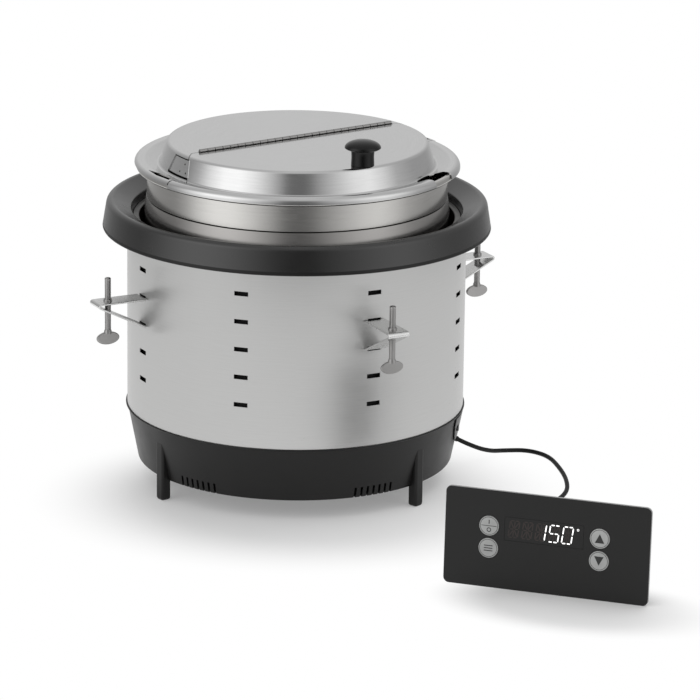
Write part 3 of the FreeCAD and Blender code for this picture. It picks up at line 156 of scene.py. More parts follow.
# Lid, with angles along the rim counted from the hinge line's ends towards the rear
LID_TURN = 34.2
LID_SHEET = 0.9
LID_RADIUS = 144.4
LID_WALL_FOOT = 121.4
LID_PLATE_RADIUS = 115.6
LID_CREST_RADIUS = 135.6
LID_GAP = 0.4
REAR_SKIRT = 2.4
REAR_EDGE = 3.4
FLAP_SKIRT = 5.2
FLAP_EDGE = 5.2
FLAP_END = -11.0
FLAP_CUT = (107.0, 124.5)
STRIP_INSET = 0.93
STRIP_SHEET = 0.7
STRIP_LEVELS = (290.4, 304.3)
STRIP_SWEEP = 31.0
STRIP_STARTS = (-10.0, 159.0)
WELDS = ((1.0, 300.5), (-1.0, 293.6), (3.5, 293.6))
WELD_LIFT = 0.16
WELD_LEAN = 0.33
WINDOW_ENDS = ((289.0, 13.5), (305.6, 10.5))
WINDOW_START = -10.0
RIM_SLOT = ((140.0, 13.0), (130.5, 0.5), (140.2, -3.0), (140.8, 5.0))
HEM_ENDS = ((121.1, -4.1, 290.6), (116.1, -2.0, 305.2))
HEM_RADIUS = 0.6
NOTCH_TURN = 29.5
NOTCH_WIDTH = 32.0
NOTCH_INNER = 122.4
NOTCH_CORNER = 6.0
HINGE_BEHIND = 7.0
HINGE_LENGTH = 212.0
HINGE_SHORT = 7.0
HINGE_LEAF = (2.4, 12.0)
HINGE_LEAF_SHEET = 0.9
HINGE_ROOM = 3.2
HINGE_PIN_RADIUS = 0.95
KNUCKLES = 26
KNUCKLE_RADIUS = 1.7
KNUCKLE_BORE = 1.05
KNUCKLE_GAP = 0.36
KNOB_REACH = 105.0
KNOB_PLACE = (-3.5, -105.6, 0.0)
KNOB_RADIUS = 15.9
KNOB_HEIGHT = 22.4
KNOB_DOME = 7.0
KNOB_BORE = 2.45
KNOB_BORE_DEPTH = 12.0

# Control panel
PANEL_PLACE = (209.7, -327.9, 0.0)
PANEL_YAW = -19.1
PANEL_LEAN = math.degrees(math.atan(2.4 / 42.5))
PANEL_WIDTH = 178.0
PANEL_HEIGHT = 84.5
PANEL_SHEET = 3.0
PANEL_CORNER = 5.0
CASE_WIDTH = 150.0
CASE_LOW = 2.4
CASE_HIGH = 82.1
CASE_CORNER = 6.0
CASE_BACK = 42.5
CASE_FALL = 0.3
CASE_SCREWS_ACROSS = (-68.0, 68.0)
CASE_SCREWS_UP = (9.4, 61.0)
BUTTON_RADIUS = 8.5
BUTTON_FLANGE = 9.3
BUTTON_STEM = 2.5
BUTTON_PROUD = 0.4
BUTTON_GAP = 0.2
BUTTON_RING = (7.3, 7.7)
BUTTONS = {
    "power_button": (-50.4, 53.5),
    "function_button": (-50.4, 34.2),
    "up_button": (45.5, 53.5),
    "down_button": (45.5, 34.2),
}
RING_LIFT = 0.03
MARK_LIFT = 0.04
WINDOW = (-37.0, 42.5, 31.5, 63.0)
WINDOW_GAP = 0.15

# Star-shaped display cells
CELL_WIDTH = 8.2
CELL_HEIGHT = 14.4
CELL_PITCH = 11.6
CELL_SLANT = 0.13
CELL_FIRST = -33.8
CELL_LOW = 45.7
STROKE = 1.0
STROKE_GAP = 0.85
STROKE_TIP = 0.3
STROKE_LEVEL = -0.01
STROKE_LIFT = 0.03
DEGREE_RING = (0.6, 1.0)
DEGREE_PLACE = (26.6, CELL_LOW + CELL_HEIGHT - 1.6)
FLAT_STROKES = {"top_left", "top_right", "low_left", "low_right"}
GLYPHS = {
    " ": set(),
    "1": {"right_high", "right_low"},
    "5": FLAT_STROKES | {"left_high", "middle_left", "middle_right", "right_low"},
    "0": FLAT_STROKES | {"left_high", "left_low", "right_high", "right_low"},
}
READING = "  150"

# Control cable, in metres, from the base's grommet to the panel's
CABLE_DIAMETER = 0.004
CABLE_POINTS = [
    (0.178, 0.043, 0.0066), (0.192, 0.058, 0.0026), (0.214, 0.061, 0.0022), (0.232, 0.044, 0.0022),
    (0.240, 0.012, 0.0022), (0.245, -0.024, 0.0022), (0.244, -0.060, 0.0022), (0.232, -0.088, 0.0022),
    (0.220, -0.113, 0.0022), (0.216, -0.140, 0.0022), (0.220, -0.170, 0.0022), (0.231, -0.199, 0.0022),
    (0.237, -0.225, 0.0050), (0.236, -0.249, 0.0130),
]

# The cable's straight ends and its grommets
CABLE_STRAIGHT = 15.0
GROMMET_TURN = 100.0
GROMMET_TILT = 28.0
GROMMET_HEIGHT = 9.0
GROMMET_NOSE = 12.0
GROMMET_SUNK = 3.0
GROMMET_RADII = (3.8, 2.15)
PANEL_GROMMET = (3.0, CASE_BACK, 22.0)
PANEL_GROMMET_LENGTH = 9.0
PANEL_GROMMET_RADII = (5.6, 3.0)

# The studio's level at angles from the camera's side towards +X, and overhead
STUDIO = [
    (-180.0, 0.74), (-130.0, 0.46), (-105.0, 0.38), (-92.0, 0.62), (-80.0, 1.10), (-66.0, 1.50),
    (-50.0, 1.48), (-38.0, 1.20), (-27.0, 0.85), (-16.0, 0.50), (-9.0, 0.24), (-4.0, 0.19),
    (6.0, 0.19), (12.0, 0.26), (20.0, 0.46), (27.0, 0.60), (38.0, 0.83), (50.0, 1.08),
    (65.0, 1.22), (79.0, 0.98), (93.0, 0.62), (115.0, 0.48), (145.0, 0.50), (180.0, 0.74),
]
STUDIO_SCALE = 1.5
STUDIO_LOW = 0.70
CEILING = 0.65

# Lamp and floor, in metres. Each shadow is an oval: middle, turn, half length, half depth and whiteness
LAMP_PLACE = (0.6, 0.9, 2.0)
LAMP_TARGET = (0, 0, 0.1)
LAMP_SIZE = 3.0
LAMP_POWER = 26.0
FLOOR_RADIUS = 1.0
KETTLE_SHADOW = ((0.01, -0.08), 0.0, 0.25, 0.21, 0.25)
PANEL_SHADOW = ((0.235, -0.358), PANEL_YAW, 0.135, 0.075, 0.05)

# The photograph's camera
IMAGE_SIZE = 700.0
CAMERA_DISTANCE = 4000.0
CAMERA_ELEVATION = 15.93
CAMERA_ROLL = 0.75
AXIS_PIXEL = (293.4, 311.9)
AXIS_HEIGHT = 150.0
FOCAL_PIXELS = 4466.0
SENSOR = 36.0


# Materials
BUMP_DISTANCE = 0.0002


def feed(owner, node, *inputs, **named):
    """Give a node's inputs, in order or by name with underscores for spaces, a value or another's output."""
    given = list(zip(node.inputs, inputs))
    given += [(node.inputs[name.replace("_", " ")], value) for name, value in named.items()]
    for socket, value in given:
        if isinstance(value, bpy.types.NodeSocket):
            owner.node_tree.links.new(value, socket)
        else:
            socket.default_value = value
    return node


def add_node(owner, kind, *inputs, **values):
    """A node of a material or the world, with its inputs fed and its properties set."""
    node = owner.node_tree.nodes.new(kind)
    named = {}
    for key, value in values.items():
        if hasattr(node, key):
            setattr(node, key, value)
        else:
            named[key] = value
    return feed(owner, node, *inputs, **named)


def calculate(owner, operation, *inputs):
    return add_node(owner, "ShaderNodeMath", *inputs, operation=operation).outputs[0]


def feed_shader(material, **named):
    feed(material, material.node_tree.nodes["Principled BSDF"], **named)


def shader(name, colour, metallic=0.0, roughness=0.5, **sockets):
    """A material with one Principled shader."""
    material = bpy.data.materials.new(name)
    material.use_nodes = True
    feed_shader(material, Base_Color=(*colour, 1.0), Metallic=metallic, Roughness=roughness, **sockets)
    return material


def object_point(material):
    return add_node(material, "ShaderNodeTexCoord").outputs["Object"]


def axis_point(material, along, across):
    """Coordinates that run round the upright axis, stretched along the turn and fine across it."""
    point = object_point(material)
    split = add_node(material, "ShaderNodeSeparateXYZ", point).outputs
    angle = calculate(material, "ARCTAN2", split["X"], split["Y"])
    flat = add_node(material, "ShaderNodeVectorMath", point, (1.0, 1.0, 0.0), operation="MULTIPLY")
    radius = add_node(material, "ShaderNodeVectorMath", flat.outputs[0], operation="LENGTH")
    joined = add_node(
        material, "ShaderNodeCombineXYZ",
        calculate(material, "MULTIPLY", angle, along),
        calculate(material, "MULTIPLY", split["Z"], across),
        calculate(material, "MULTIPLY", radius.outputs["Value"], across),
    )
    return joined.outputs[0]


def noise(material, point, scale, detail, roughness=0.55):
    texture = add_node(
        material, "ShaderNodeTexNoise", Vector=point, Scale=scale, Detail=detail, Roughness=roughness,
    )
    return texture.outputs["Fac"]


def vary_roughness(material, pattern, low, high):
    spread = add_node(
        material, "ShaderNodeMapRange", Value=pattern, From_Min=0.25, From_Max=0.75, To_Min=low, To_Max=high,
    )
    feed_shader(material, Roughness=spread.outputs["Result"])


def vary_colour(material, pattern, colour, spread):
    """Run the colour from darker to lighter with a pattern."""
    ramp = add_node(material, "ShaderNodeValToRGB", pattern)
    for stop, position, share in zip(ramp.color_ramp.elements, (0.3, 0.7), (1.0 - spread, 1.0 + spread)):
        stop.position = position
        stop.color = (*(channel * share for channel in colour), 1.0)
    feed_shader(material, Base_Color=ramp.outputs["Color"])


def add_bump(material, pattern, strength, lean=0.0):
    """A fine bump from a pattern, on a surface whose sheen leans upward by a slope."""
    bump = add_node(
        material, "ShaderNodeBump", Strength=strength, Distance=BUMP_DISTANCE, Height=pattern,
    )
    if lean:
        normal = add_node(material, "ShaderNodeNewGeometry").outputs["Normal"]
        raised = add_node(material, "ShaderNodeVectorMath", normal, (0.0, 0.0, lean), operation="ADD")
        level = add_node(material, "ShaderNodeVectorMath", raised.outputs[0], operation="NORMALIZE")
        feed(material, bump, Normal=level.outputs[0])
    feed_shader(material, Normal=bump.outputs["Normal"])


def spun_steel(name, colour, roughness, anisotropy, grain, lean=0.0):
    """Steel with a fine grain round the upright axis."""
    material = shader(name, colour, 1.0, roughness, Anisotropic=anisotropy)
    tangent = add_node(material, "ShaderNodeTangent", direction_type="RADIAL", axis="Z")
    feed_shader(material, Tangent=tangent.outputs[0])
    pattern = noise(material, axis_point(material, 5.0, grain), 1.0, 4.0, 0.6)
    vary_colour(material, pattern, colour, 0.03)
    vary_roughness(material, pattern, roughness * 0.85, roughness * 1.15)
    add_bump(material, pattern, 0.01, lean)
    return material


def plain_steel(name, colour, roughness):
    """Rolled or plated metal with faint cloudy wear."""
    material = shader(name, colour, 1.0, roughness)
    pattern = noise(material, object_point(material), 90.0, 4.0)
    vary_roughness(material, pattern, roughness * 0.88, roughness * 1.14)
    add_bump(material, pattern, 0.002)
    return material


def moulded(name, colour, roughness, pebble, strength, **sockets):
    """Moulded plastic with a fine pebbled skin and slight changes of gloss."""
    material = shader(name, colour, 0.0, roughness, **sockets)
    cloud = noise(material, object_point(material), 38.0, 4.0)
    vary_roughness(material, cloud, roughness * 0.88, roughness * 1.14)
    vary_colour(material, cloud, colour, 0.1)
    add_bump(material, noise(material, object_point(material), pebble, 2.0), strength)
    return material


def glow(name, colour, strength):
    return shader(name, colour, Emission_Color=(*colour, 1.0), Emission_Strength=strength)


MATERIALS = {
    "ring": moulded("ring_plastic", (0.006, 0.0058, 0.0056), 0.25, 1400.0, 0.03, Specular_IOR_Level=0.9),
    "base": moulded("base_plastic", (0.009, 0.0088, 0.0086), 0.40, 1600.0, 0.08, Specular_IOR_Level=0.32),
    "shell": spun_steel("shell_steel", (0.54, 0.54, 0.535), 0.32, 0.9, 900.0),
    "pot": spun_steel("pot_steel", (0.62, 0.61, 0.59), 0.2, 0.4, 700.0, 0.09),
    # Darker steel for the pot's lower body: partly its own duller finish, partly painted shade under the ring
    "satin": spun_steel("satin_steel_and_painted_shade", (0.35, 0.34, 0.33), 0.24, 0.2, 700.0, 0.20),
    "lid": spun_steel("lid_steel", (0.64, 0.64, 0.64), 0.13, 0.2, 700.0),
    "bright": plain_steel("bright_steel", (0.72, 0.72, 0.715), 0.26),
    "hinge": plain_steel("hinge_steel", (0.34, 0.335, 0.33), 0.34),
    "screw": plain_steel("screw_steel", (0.37, 0.365, 0.36), 0.34),
    # Dark steel: the well's own wall and the weld marks, and painted shade in the pot's groove and under the
    # hinge plate
    "liner_and_painted_shade": plain_steel("liner_steel", (0.06, 0.058, 0.055), 0.34),
    "knob": moulded("knob_plastic", (0.004, 0.004, 0.004), 0.14, 900.0, 0.01, Specular_IOR_Level=0.32),
    "panel": moulded("panel_overlay", (0.014, 0.014, 0.0138), 0.5, 2600.0, 0.03, Specular_IOR_Level=0.3),
    # Lighter grey for the plate's edge faces: partly the plate's own edge, partly painted highlight
    "panel_edge_and_highlight": moulded("panel_edge_and_highlight", (0.30, 0.30, 0.30), 0.40, 1500.0, 0.05),
    "housing": moulded("housing_plastic", (0.016, 0.016, 0.016), 0.45, 1500.0, 0.08),
    "window": moulded("window_pane", (0.014, 0.014, 0.0138), 0.48, 2600.0, 0.02, Specular_IOR_Level=0.3),
    "button": moulded("button_face", (0.43, 0.435, 0.43), 0.48, 2400.0, 0.05),
    "mark": moulded("button_mark", (0.022, 0.022, 0.022), 0.5, 2400.0, 0.03),
    "lit": glow("display_lit", (1.0, 1.0, 0.99), 1.0),
    "unlit": moulded("display_unlit", (0.038, 0.030, 0.028), 0.45, 2400.0, 0.02, Specular_IOR_Level=0.3),
    "rubber": moulded("black_rubber", (0.007, 0.007, 0.007), 0.6, 1800.0, 0.08, Specular_IOR_Level=0.25),
    "glass": moulded("ceramic_glass", (0.012, 0.012, 0.013), 0.10, 500.0, 0.01),
    "wool": moulded("faced_wool", (0.012, 0.012, 0.012), 0.95, 420.0, 0.4),
    "copper": plain_steel("coil_copper", (0.62, 0.30, 0.16), 0.36),
    "ferrite": moulded("ferrite", (0.05, 0.05, 0.05), 0.6, 1500.0, 0.2),
    "board": moulded("circuit_board", (0.02, 0.10, 0.04), 0.4, 700.0, 0.05),
    "former": moulded("former_plastic", (0.30, 0.29, 0.27), 0.55, 900.0, 0.1),
    "aluminium": plain_steel("extruded_aluminium", (0.68, 0.69, 0.70), 0.32),
}


# Mesh helpers
def rounded(corners, step=12.0):
    """An outline through corners (across, up), with an arc where a corner also has a radius."""
    outline = []
    count = len(corners)
    for index, corner in enumerate(corners):
        point = Vector(corner[:2])
        if len(corner) == 2:
            outline.append(point)
            continue
        radius = corner[2]
        back = (Vector(corners[index - 1][:2]) - point).normalized()
        ahead = (Vector(corners[(index + 1) % count][:2]) - point).normalized()
        half = back.angle(ahead) / 2
        enter = point + back * radius / math.tan(half)
        leave = point + ahead * radius / math.tan(half)
        centre = point + (back + ahead).normalized() * radius / math.sin(half)
        first = math.atan2(enter.y - centre.y, enter.x - centre.x)
        last = math.atan2(leave.y - centre.y, leave.x - centre.x)
        turn = (last - first + math.pi) % (2 * math.pi) - math.pi
        pieces = max(2, math.ceil(round(abs(math.degrees(turn)) / step, 3)))
        for number in range(pieces + 1):
            angle = first + turn * number / pieces
            outline.append(centre + radius * Vector((math.cos(angle), math.sin(angle))))
    return outline


def band(inner, outer, low, high, edge=0.0):
    """The outline of a turned ring, or of a rod where inner is 0. Its outer edges may be rounded."""
    corner = (edge,) if edge else ()
    return rounded([(inner, low), (outer, low, *corner), (outer, high, *corner), (inner, high)])


def sloped_band(radius_at, low, high, inner, outer, edge=0.0):
    """The outline of a ring along a sloped wall, between two distances from it."""
    corner = (edge,) if edge else ()
    return rounded([
        (radius_at(low) + inner, low),
        (radius_at(low) + outer, low, *corner),
        (radius_at(high) + outer, high, *corner),
        (radius_at(high) + inner, high),
    ])


def lathe(outline, segments=SEGMENTS, start=0.0, sweep=360.0):
    """Spin a closed outline (radius, height) about the upright axis, from +X towards +Y."""
    closed = sweep > 359.9
    columns = segments if closed else segments + 1
    angles = [math.radians(start + sweep * number / segments) for number in range(columns)]
    made = bmesh.new()
    rings = []
    for radius, height in outline:
        if radius < 1e-6:
            rings.append([made.verts.new((0, 0, height * MM))] * columns)
            continue
        ring = [(radius * math.cos(a) * MM, radius * math.sin(a) * MM, height * MM) for a in angles]
        rings.append([made.verts.new(place) for place in ring])
    for index, low in enumerate(rings):
        high = rings[(index + 1) % len(rings)]
        for column in range(segments):
            beside = (column + 1) % columns
            corners = list(dict.fromkeys((low[column], low[beside], high[beside], high[column])))
            if len(corners) > 2:
                made.faces.new(corners)
    if not closed:
        for column in (0, columns - 1):
            made.faces.new(list(dict.fromkeys(ring[column] for ring in rings)))
    bmesh.ops.recalc_face_normals(made, faces=made.faces)
    return made


def loft(loops):
    """Skin a row of loops, each a list of points in millimetres with the same count, and close its ends."""
    made = bmesh.new()
    rings = [[made.verts.new(Vector(point) * MM) for point in loop] for loop in loops]
    for low, high in zip(rings, rings[1:]):
        count = len(low)
        for index in range(count):
            beside = (index + 1) % count
            made.faces.new((low[index], low[beside], high[beside], high[index]))
    made.faces.new(rings[0])
    made.faces.new(rings[-1])
    bmesh.ops.recalc_face_normals(made, faces=made.faces)
    return made


def prism(plan, low, high):
    """An upright block over a plan (across, ahead)."""
    return loft([[(across, ahead, height) for across, ahead in plan] for height in (low, high)])


def box(low, high):
    (x0, y0, z0), (x1, y1, z1) = low, high
    return prism([(x0, y0), (x1, y0), (x1, y1), (x0, y1)], z0, z1)


def join(parts):
    """Several meshes as one."""
    joined = bmesh.new()
    holder = bpy.data.meshes.new("joining")
    for part in parts:
        part.to_mesh(holder)
        part.free()
        joined.from_mesh(holder)
    bpy.data.meshes.remove(holder)
    return joined


def move(made, matrix):
    bmesh.ops.transform(made, matrix=matrix, verts=made.verts)
    return made


def turn_z(degrees):
    return Matrix.Rotation(math.radians(degrees), 4, "Z")


def face_angle(degrees):
    """Turn what faces +X so that it faces an angle counted from the front towards +X."""
    return turn_z(degrees - 90.0)


def facing_point(radius, turn, height):
    """A point at an angle counted from the front towards +X."""
    angle = math.radians(turn)
    return Vector((radius * math.sin(angle), -radius * math.cos(angle), height))


def shift(x, y, z):
    return Matrix.Translation(Vector((x, y, z)) * MM)


def aim(place, direction):
    """Carry what stands on the origin along +Z to a place, pointing in a direction."""
    turn = Vector((0, 0, 1)).rotation_difference(Vector(direction)).to_matrix().to_4x4()
    return shift(*place) @ turn


def put_object(name, data):
    """Put a mesh being made, a curve, a lamp or a camera in the scene."""
    if isinstance(data, bmesh.types.BMesh):
        made = data
        data = bpy.data.meshes.new(name)
        made.to_mesh(data)
        made.free()
    thing = bpy.data.objects.new(name, data)
    bpy.context.scene.collection.objects.link(thing)
    return thing


def carve(made, tool, operation="DIFFERENCE"):
    """Cut one mesh out of another."""
    target = put_object("carving", made)
    cutter = put_object("carving", tool)
    modifier = target.modifiers.new("carve", "BOOLEAN")
    modifier.object = cutter
    modifier.solver = "EXACT"
    modifier.operation = operation
    graph = bpy.context.evaluated_depsgraph_get()
    mesh = bpy.data.meshes.new_from_object(target.evaluated_get(graph))
    result = bmesh.new()
    result.from_mesh(mesh)
    for thing in (target, cutter):
        data = thing.data
        bpy.data.objects.remove(thing)
        bpy.data.meshes.remove(data)
    bpy.data.meshes.remove(mesh)
    return result


def piece(name, made, material, body, slot, nodes=(), sharp=35.0):
    """Put a mesh in the scene, on a body, with its finish and the nodes that it stands for."""
    thing = put_object(name, made)
    mesh = thing.data
    mesh.materials.append(MATERIALS[material])
    mesh.polygons.foreach_set("use_smooth", [True] * len(mesh.polygons))
    mesh.set_sharp_from_angle(angle=math.radians(sharp))
    weighted = thing.modifiers.new("even_shading", "WEIGHTED_NORMAL")
    weighted.keep_sharp = True
    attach(thing, body)
    if nodes:
        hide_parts(*nodes)
    return thing


def refinish(thing, material, chosen):
    """Give another finish to the faces of a piece that are chosen."""
    index = len(thing.data.materials)
    thing.data.materials.append(MATERIALS[material])
    for face in thing.data.polygons:
        if chosen(face):
            face.material_index = index


# Kettle body
def base_radius_at(height):
    share = (height - Z_BASE) / (Z_BASE_TOP - Z_BASE)
    return BASE_RADIUS + (BASE_TOP_RADIUS - BASE_RADIUS) * share


def build_ring():
    """The moulded ring. Its lower edge takes the base's duller finish as painted shade, so its rounding
    renders dark.
    """
    outline = rounded([
        (RING_BORE, Z_RING),
        (152.0, Z_RING),
        (154.6, Z_RING + 14.0, 2.0),
        (161.3, Z_RING + 18.0, 2.0),
        (165.8, RING_LIP),
        (RING_RADIUS, RING_LIP, 1.0),
        (172.4, RING_LIP + 3.4),
        (RING_CROWN_RADIUS, Z_RING_TOP, 5.0),
        (147.5, Z_RING_TOP - 10.3, 1.6),
        (145.5, Z_LEDGE, 0.4),
        (RING_BORE, Z_LEDGE),
    ], 8.0)
    thing = piece("flange_ring", lathe(outline, 256), "ring", "kettle", "black_ring", ["top_ring"], 40.0)
    # Painted shade: the lower band gets the base's duller finish so its rounding stays dark
    refinish(thing, "base", lambda face: face.center.z < (RING_LIP + RING_SHADE_BAND) * MM)


def build_shell():
    """A thin cylinder with its slots left out of the mesh, whose grid lines run along the slots' edges."""
    half_angle = math.degrees(SLOT_WIDTH / 2 / SHELL_RADIUS)
    pitch = 360.0 / SLOT_COLUMNS
    gap = pitch - 2 * half_angle
    steps = 12
    edge = 0.3
    turns = set()
    for column in range(SLOT_COLUMNS):
        middle = SLOT_TURN + pitch * column
        turns.update(middle + half_angle + gap * number / steps for number in range(steps + 1))
        turns.update((middle - half_angle / 3, middle + half_angle / 3))
    turns = sorted({round(turn % 360.0, 5) for turn in turns})
    levels = [Z_SHELL, Z_SHELL + edge]
    for level in reversed(SLOT_LEVELS):
        levels += [level - SLOT_HEIGHT / 2, level + SLOT_HEIGHT / 2]
    levels += [Z_RING - edge, Z_RING]
    count = len(turns)
    rows = len(levels) - 1

    def is_slot(turn, row):
        width = (turns[(turn + 1) % count] - turns[turn]) % 360.0
        from_column = (turns[turn] + width / 2 - SLOT_TURN + pitch / 2) % pitch
        height = (levels[row] + levels[row + 1]) / 2
        inside = abs(from_column - pitch / 2) < half_angle
        return inside and any(abs(height - level) < SLOT_HEIGHT / 2 for level in SLOT_LEVELS)

    made = bmesh.new()
    skins = []
    for radius in (SHELL_RADIUS, SHELL_RADIUS - SHELL_SHEET):
        skins.append([
            [made.verts.new(facing_point(radius, turn, level) * MM) for turn in turns] for level in levels
        ])
    outer, inner = skins
    for row in range(rows):
        for turn in range(count):
            if is_slot(turn, row):
                continue
            beside = (turn + 1) % count
            for skin in skins:
                low, high = skin[row], skin[row + 1]
                made.faces.new((low[turn], low[beside], high[beside], high[turn]))
            for other, at in ((turn - 1, turn), (beside, beside)):
                if is_slot(other % count, row):
                    made.faces.new((outer[row][at], outer[row + 1][at], inner[row + 1][at], inner[row][at]))
            for other, at in ((row - 1, row), (row + 1, row + 1)):
                if other < 0 or other >= rows or is_slot(turn, other):
                    made.faces.new((outer[at][turn], outer[at][beside], inner[at][beside], inner[at][turn]))
    bmesh.ops.recalc_face_normals(made, faces=made.faces)
    piece("steel_shell", made, "shell", "kettle", "shell_steel", ["outer_shell"], 40.0)


def upright_end(made):
    """Trim the access cover's front end to an upright edge."""
    return carve(made, box((0.0, -200.0, 0.0), (HATCH_EDGE, 0.0, 100.0)))


def build_base():
    made = lathe(rounded([
        (BASE_BORE, Z_BASE),
        (BASE_RADIUS, Z_BASE, 1.6),
        (BASE_TOP_RADIUS, Z_BASE_TOP, 0.6),
        (BASE_LIP_RADIUS, Z_SHELL - 0.75, 0.5),
        (BASE_LIP_RADIUS, BASE_LIP, 0.3),
        (151.3, BASE_LIP),
        (151.3, Z_SHELL),
        (147.6, Z_SHELL),
        (138.2, BASE_LEDGE_TOP),
        (BASE_LEDGE, BASE_LEDGE_TOP),
        (BASE_LEDGE, BASE_LEDGE_LOW),
        (BASE_BORE, BASE_LEDGE_LOW),
    ]), 240)
    cutters = []
    half = VENT_WIDTH / 2
    for side in (-1, 1):
        for number in range(VENT_COUNT):
            across = VENT_PITCH * (number - (VENT_COUNT - 1) / 2)
            for facing in (0.0, 180.0):
                vent = box((136.0, across - half, Z_BASE - 2.0), (158.0, across + half, VENT_TOP))
                cutters.append(move(vent, face_angle(BASE_TURN + VENT_HALF_ANGLE * side + facing)))
    cutters.append(move(box((130.0, -5.5, 10.0), (160.0, 5.5, 33.0)), face_angle(GROMMET_TURN)))
    start = HATCH_TURN - 90.0
    recess = sloped_band(base_radius_at, HATCH_LOW, HATCH_HIGH, -HATCH_DEPTH, 3.0)
    cutters.append(upright_end(lathe(recess, 36, start, HATCH_ANGLE)))
    gland_hole = lathe(band(0, GLAND_HOLE, 0, 40.0), 40)
    cutters.append(move(gland_hole, aim((0, 120.0, GLAND_HEIGHT), (0, 1, 0))))
    made = carve(made, join(cutters))
    piece("base_skirt", made, "base", "kettle", "black_base", ["base_tray"], 32.0)

    low, high = HATCH_LOW + HATCH_GAP, HATCH_HIGH - HATCH_GAP
    cover = sloped_band(base_radius_at, low, high, 0.05 - HATCH_DEPTH, HATCH_PROUD, 0.4)
    made = upright_end(lathe(cover, 40, start + HATCH_SIDE_GAP, HATCH_ANGLE - 2 * HATCH_SIDE_GAP))
    piece("access_cover", made, "base", "kettle", "black_base", ["terminal_cover"])


def build_feet():
    """Posts with rounded toes and edges, trimmed to the base's sloped wall."""
    posts = []
    for turn in (-FOOT_HALF_ANGLE, FOOT_HALF_ANGLE, 180.0 - FOOT_HALF_ANGLE, 180.0 + FOOT_HALF_ANGLE):
        loops = []
        for height, inset in ((0.0, 1.8), (0.6, 0.8), (1.4, 0.25), (2.6, 0.0), (FOOT_TOP, 0.0)):
            half = FOOT_WIDTH / 2 - inset
            inner = FOOT_INNER + inset
            outer = FOOT_OUTER - inset * 0.7
            corner = FOOT_CORNER - inset * 0.4
            edges = [(outer, -half, corner), (outer, half, corner)]
            section = rounded([(inner, -half), *edges, (inner, half)], 15.0)
            loops.append([(point.x, point.y, height) for point in section])
        posts.append(move(loft(loops), face_angle(FOOT_TURN + turn)))
    gap = 0.05
    above = Z_SHELL + 2.0
    inside = lathe([
        (0, Z_BASE),
        (BASE_RADIUS + gap, Z_BASE),
        (BASE_TOP_RADIUS + gap, Z_BASE_TOP),
        (BASE_TOP_RADIUS + gap, above),
        (0, above),
    ], 240)
    made = carve(join(posts), inside)
    piece("moulded_feet", made, "base", "kettle", "black_base", ["feet"], 30.0)


def build_well():
    inside = WELL_RADIUS - WELL_SHEET
    ledge = Z_LEDGE + WELL_SHEET
    floor = WELL_BOTTOM + WELL_SHEET
    outline = rounded([
        (WELL_HOLE, WELL_BOTTOM),
        (WELL_RADIUS, WELL_BOTTOM, 1.5),
        (WELL_RADIUS, Z_LEDGE, 0.6),
        (WELL_FLANGE, Z_LEDGE),
        (WELL_FLANGE, ledge),
        (inside, ledge, 1.6),
        (inside, floor),
        (WELL_HOLE, floor),
    ])
    piece("well_wall", lathe(outline), "liner_and_painted_shade", "kettle", "liner_steel", ["well_liner"])


# Clamps
def clamp_facing(index):
    return face_angle(SLOT_TURN + 360.0 / CLAMP_COUNT * index)


def strap_line():
    """The middle line of the bent strap, from the upper tab round the nose to the lower tab. Two points lie
    close together where the strap's width changes."""
    half = CLAMP_STRAP / 2
    bends = rounded([
        (CLAMP_ROOT, CLAMP_TOP - half),
        (CLAMP_REACH - 2.6, CLAMP_TOP - half, 1.7),
        (CLAMP_NECK + 0.2, CLAMP_LOW + half, 4.0),
        (CLAMP_ROOT, CLAMP_LOW + half),
    ], 15.0)
    line = []
    for before, after in zip(bends, bends[1:]):
        line.append(before)
        if (before.x - CLAMP_NECK) * (after.x - CLAMP_NECK) < 0:
            middle = before.lerp(after, (CLAMP_NECK - before.x) / (after.x - before.x))
            toward = (after - before).normalized() * 0.01
            line += [middle - toward, middle + toward]
    return line + [bends[-1]]


def build_clamp(index):
    line = strap_line()
    loops = []
    for number, point in enumerate(line):
        before = line[max(0, number - 1)]
        after = line[min(len(line) - 1, number + 1)]
        heading = (after - before).normalized()
        side = Vector((-heading.y, heading.x)) * CLAMP_STRAP / 2
        half = (CLAMP_TAB_WIDTH if point.x < CLAMP_NECK else CLAMP_WIDTH) / 2
        flat = half - CLAMP_EDGE
        edge = [(1.0, -flat), (1.0, flat), (0.6, half), (-0.6, half)]
        loop = []
        for share, across in edge + [(-share, -across) for share, across in edge]:
            place = point + side * share
            loop.append((place.x, across, place.y))
        loops.append(loop)
    hole = move(lathe(band(0, CLAMP_HOLE, 140.0, 200.0), 32), shift(SCREW_REACH, 0, 0))
    made = move(carve(loft(loops), hole), clamp_facing(index))
    node = f"clamp_bracket_{index + 1}"
    piece(f"clamp_strap_{index + 1}", made, "bright", "kettle", "hardware_steel", [node])


def thread(radius, low, high, columns=20):
    """A shank whose skin winds up round it."""
    rows_per_turn = 5
    rows = int((high - low) / THREAD_PITCH * rows_per_turn)
    loops = []
    for row in range(rows + 1):
        height = low + (high - low) * row / rows
        fade = max(0.0, min(1.0, (high - height) / THREAD_FADE, (height - low) / THREAD_FADE))
        loop = []
        for column in range(columns):
            angle = 2 * math.pi * column / columns
            phase = (height / THREAD_PITCH - column / columns) % 1.0
            reach = radius - THREAD_DEPTH * abs(2 * phase - 1) * fade
            loop.append((reach * math.cos(angle), reach * math.sin(angle), height))
        loops.append(loop)
    return loft(loops)


def oval_plate(width, height, sheet, middle):
    """An upright oval plate with softened edges."""
    loops = []
    count = 48
    for depth, inset in ((-0.5, 0.9), (-0.38, 0.3), (-0.2, 0.0), (0.2, 0.0), (0.38, 0.3), (0.5, 0.9)):
        loop = []
        for number in range(count):
            angle = 2 * math.pi * number / count
            across = (width / 2 - inset) * math.cos(angle)
            up = middle + (height / 2 - inset) * math.sin(angle)
            loop.append((across, depth * sheet, up))
        loops.append(loop)
    return loft(loops)


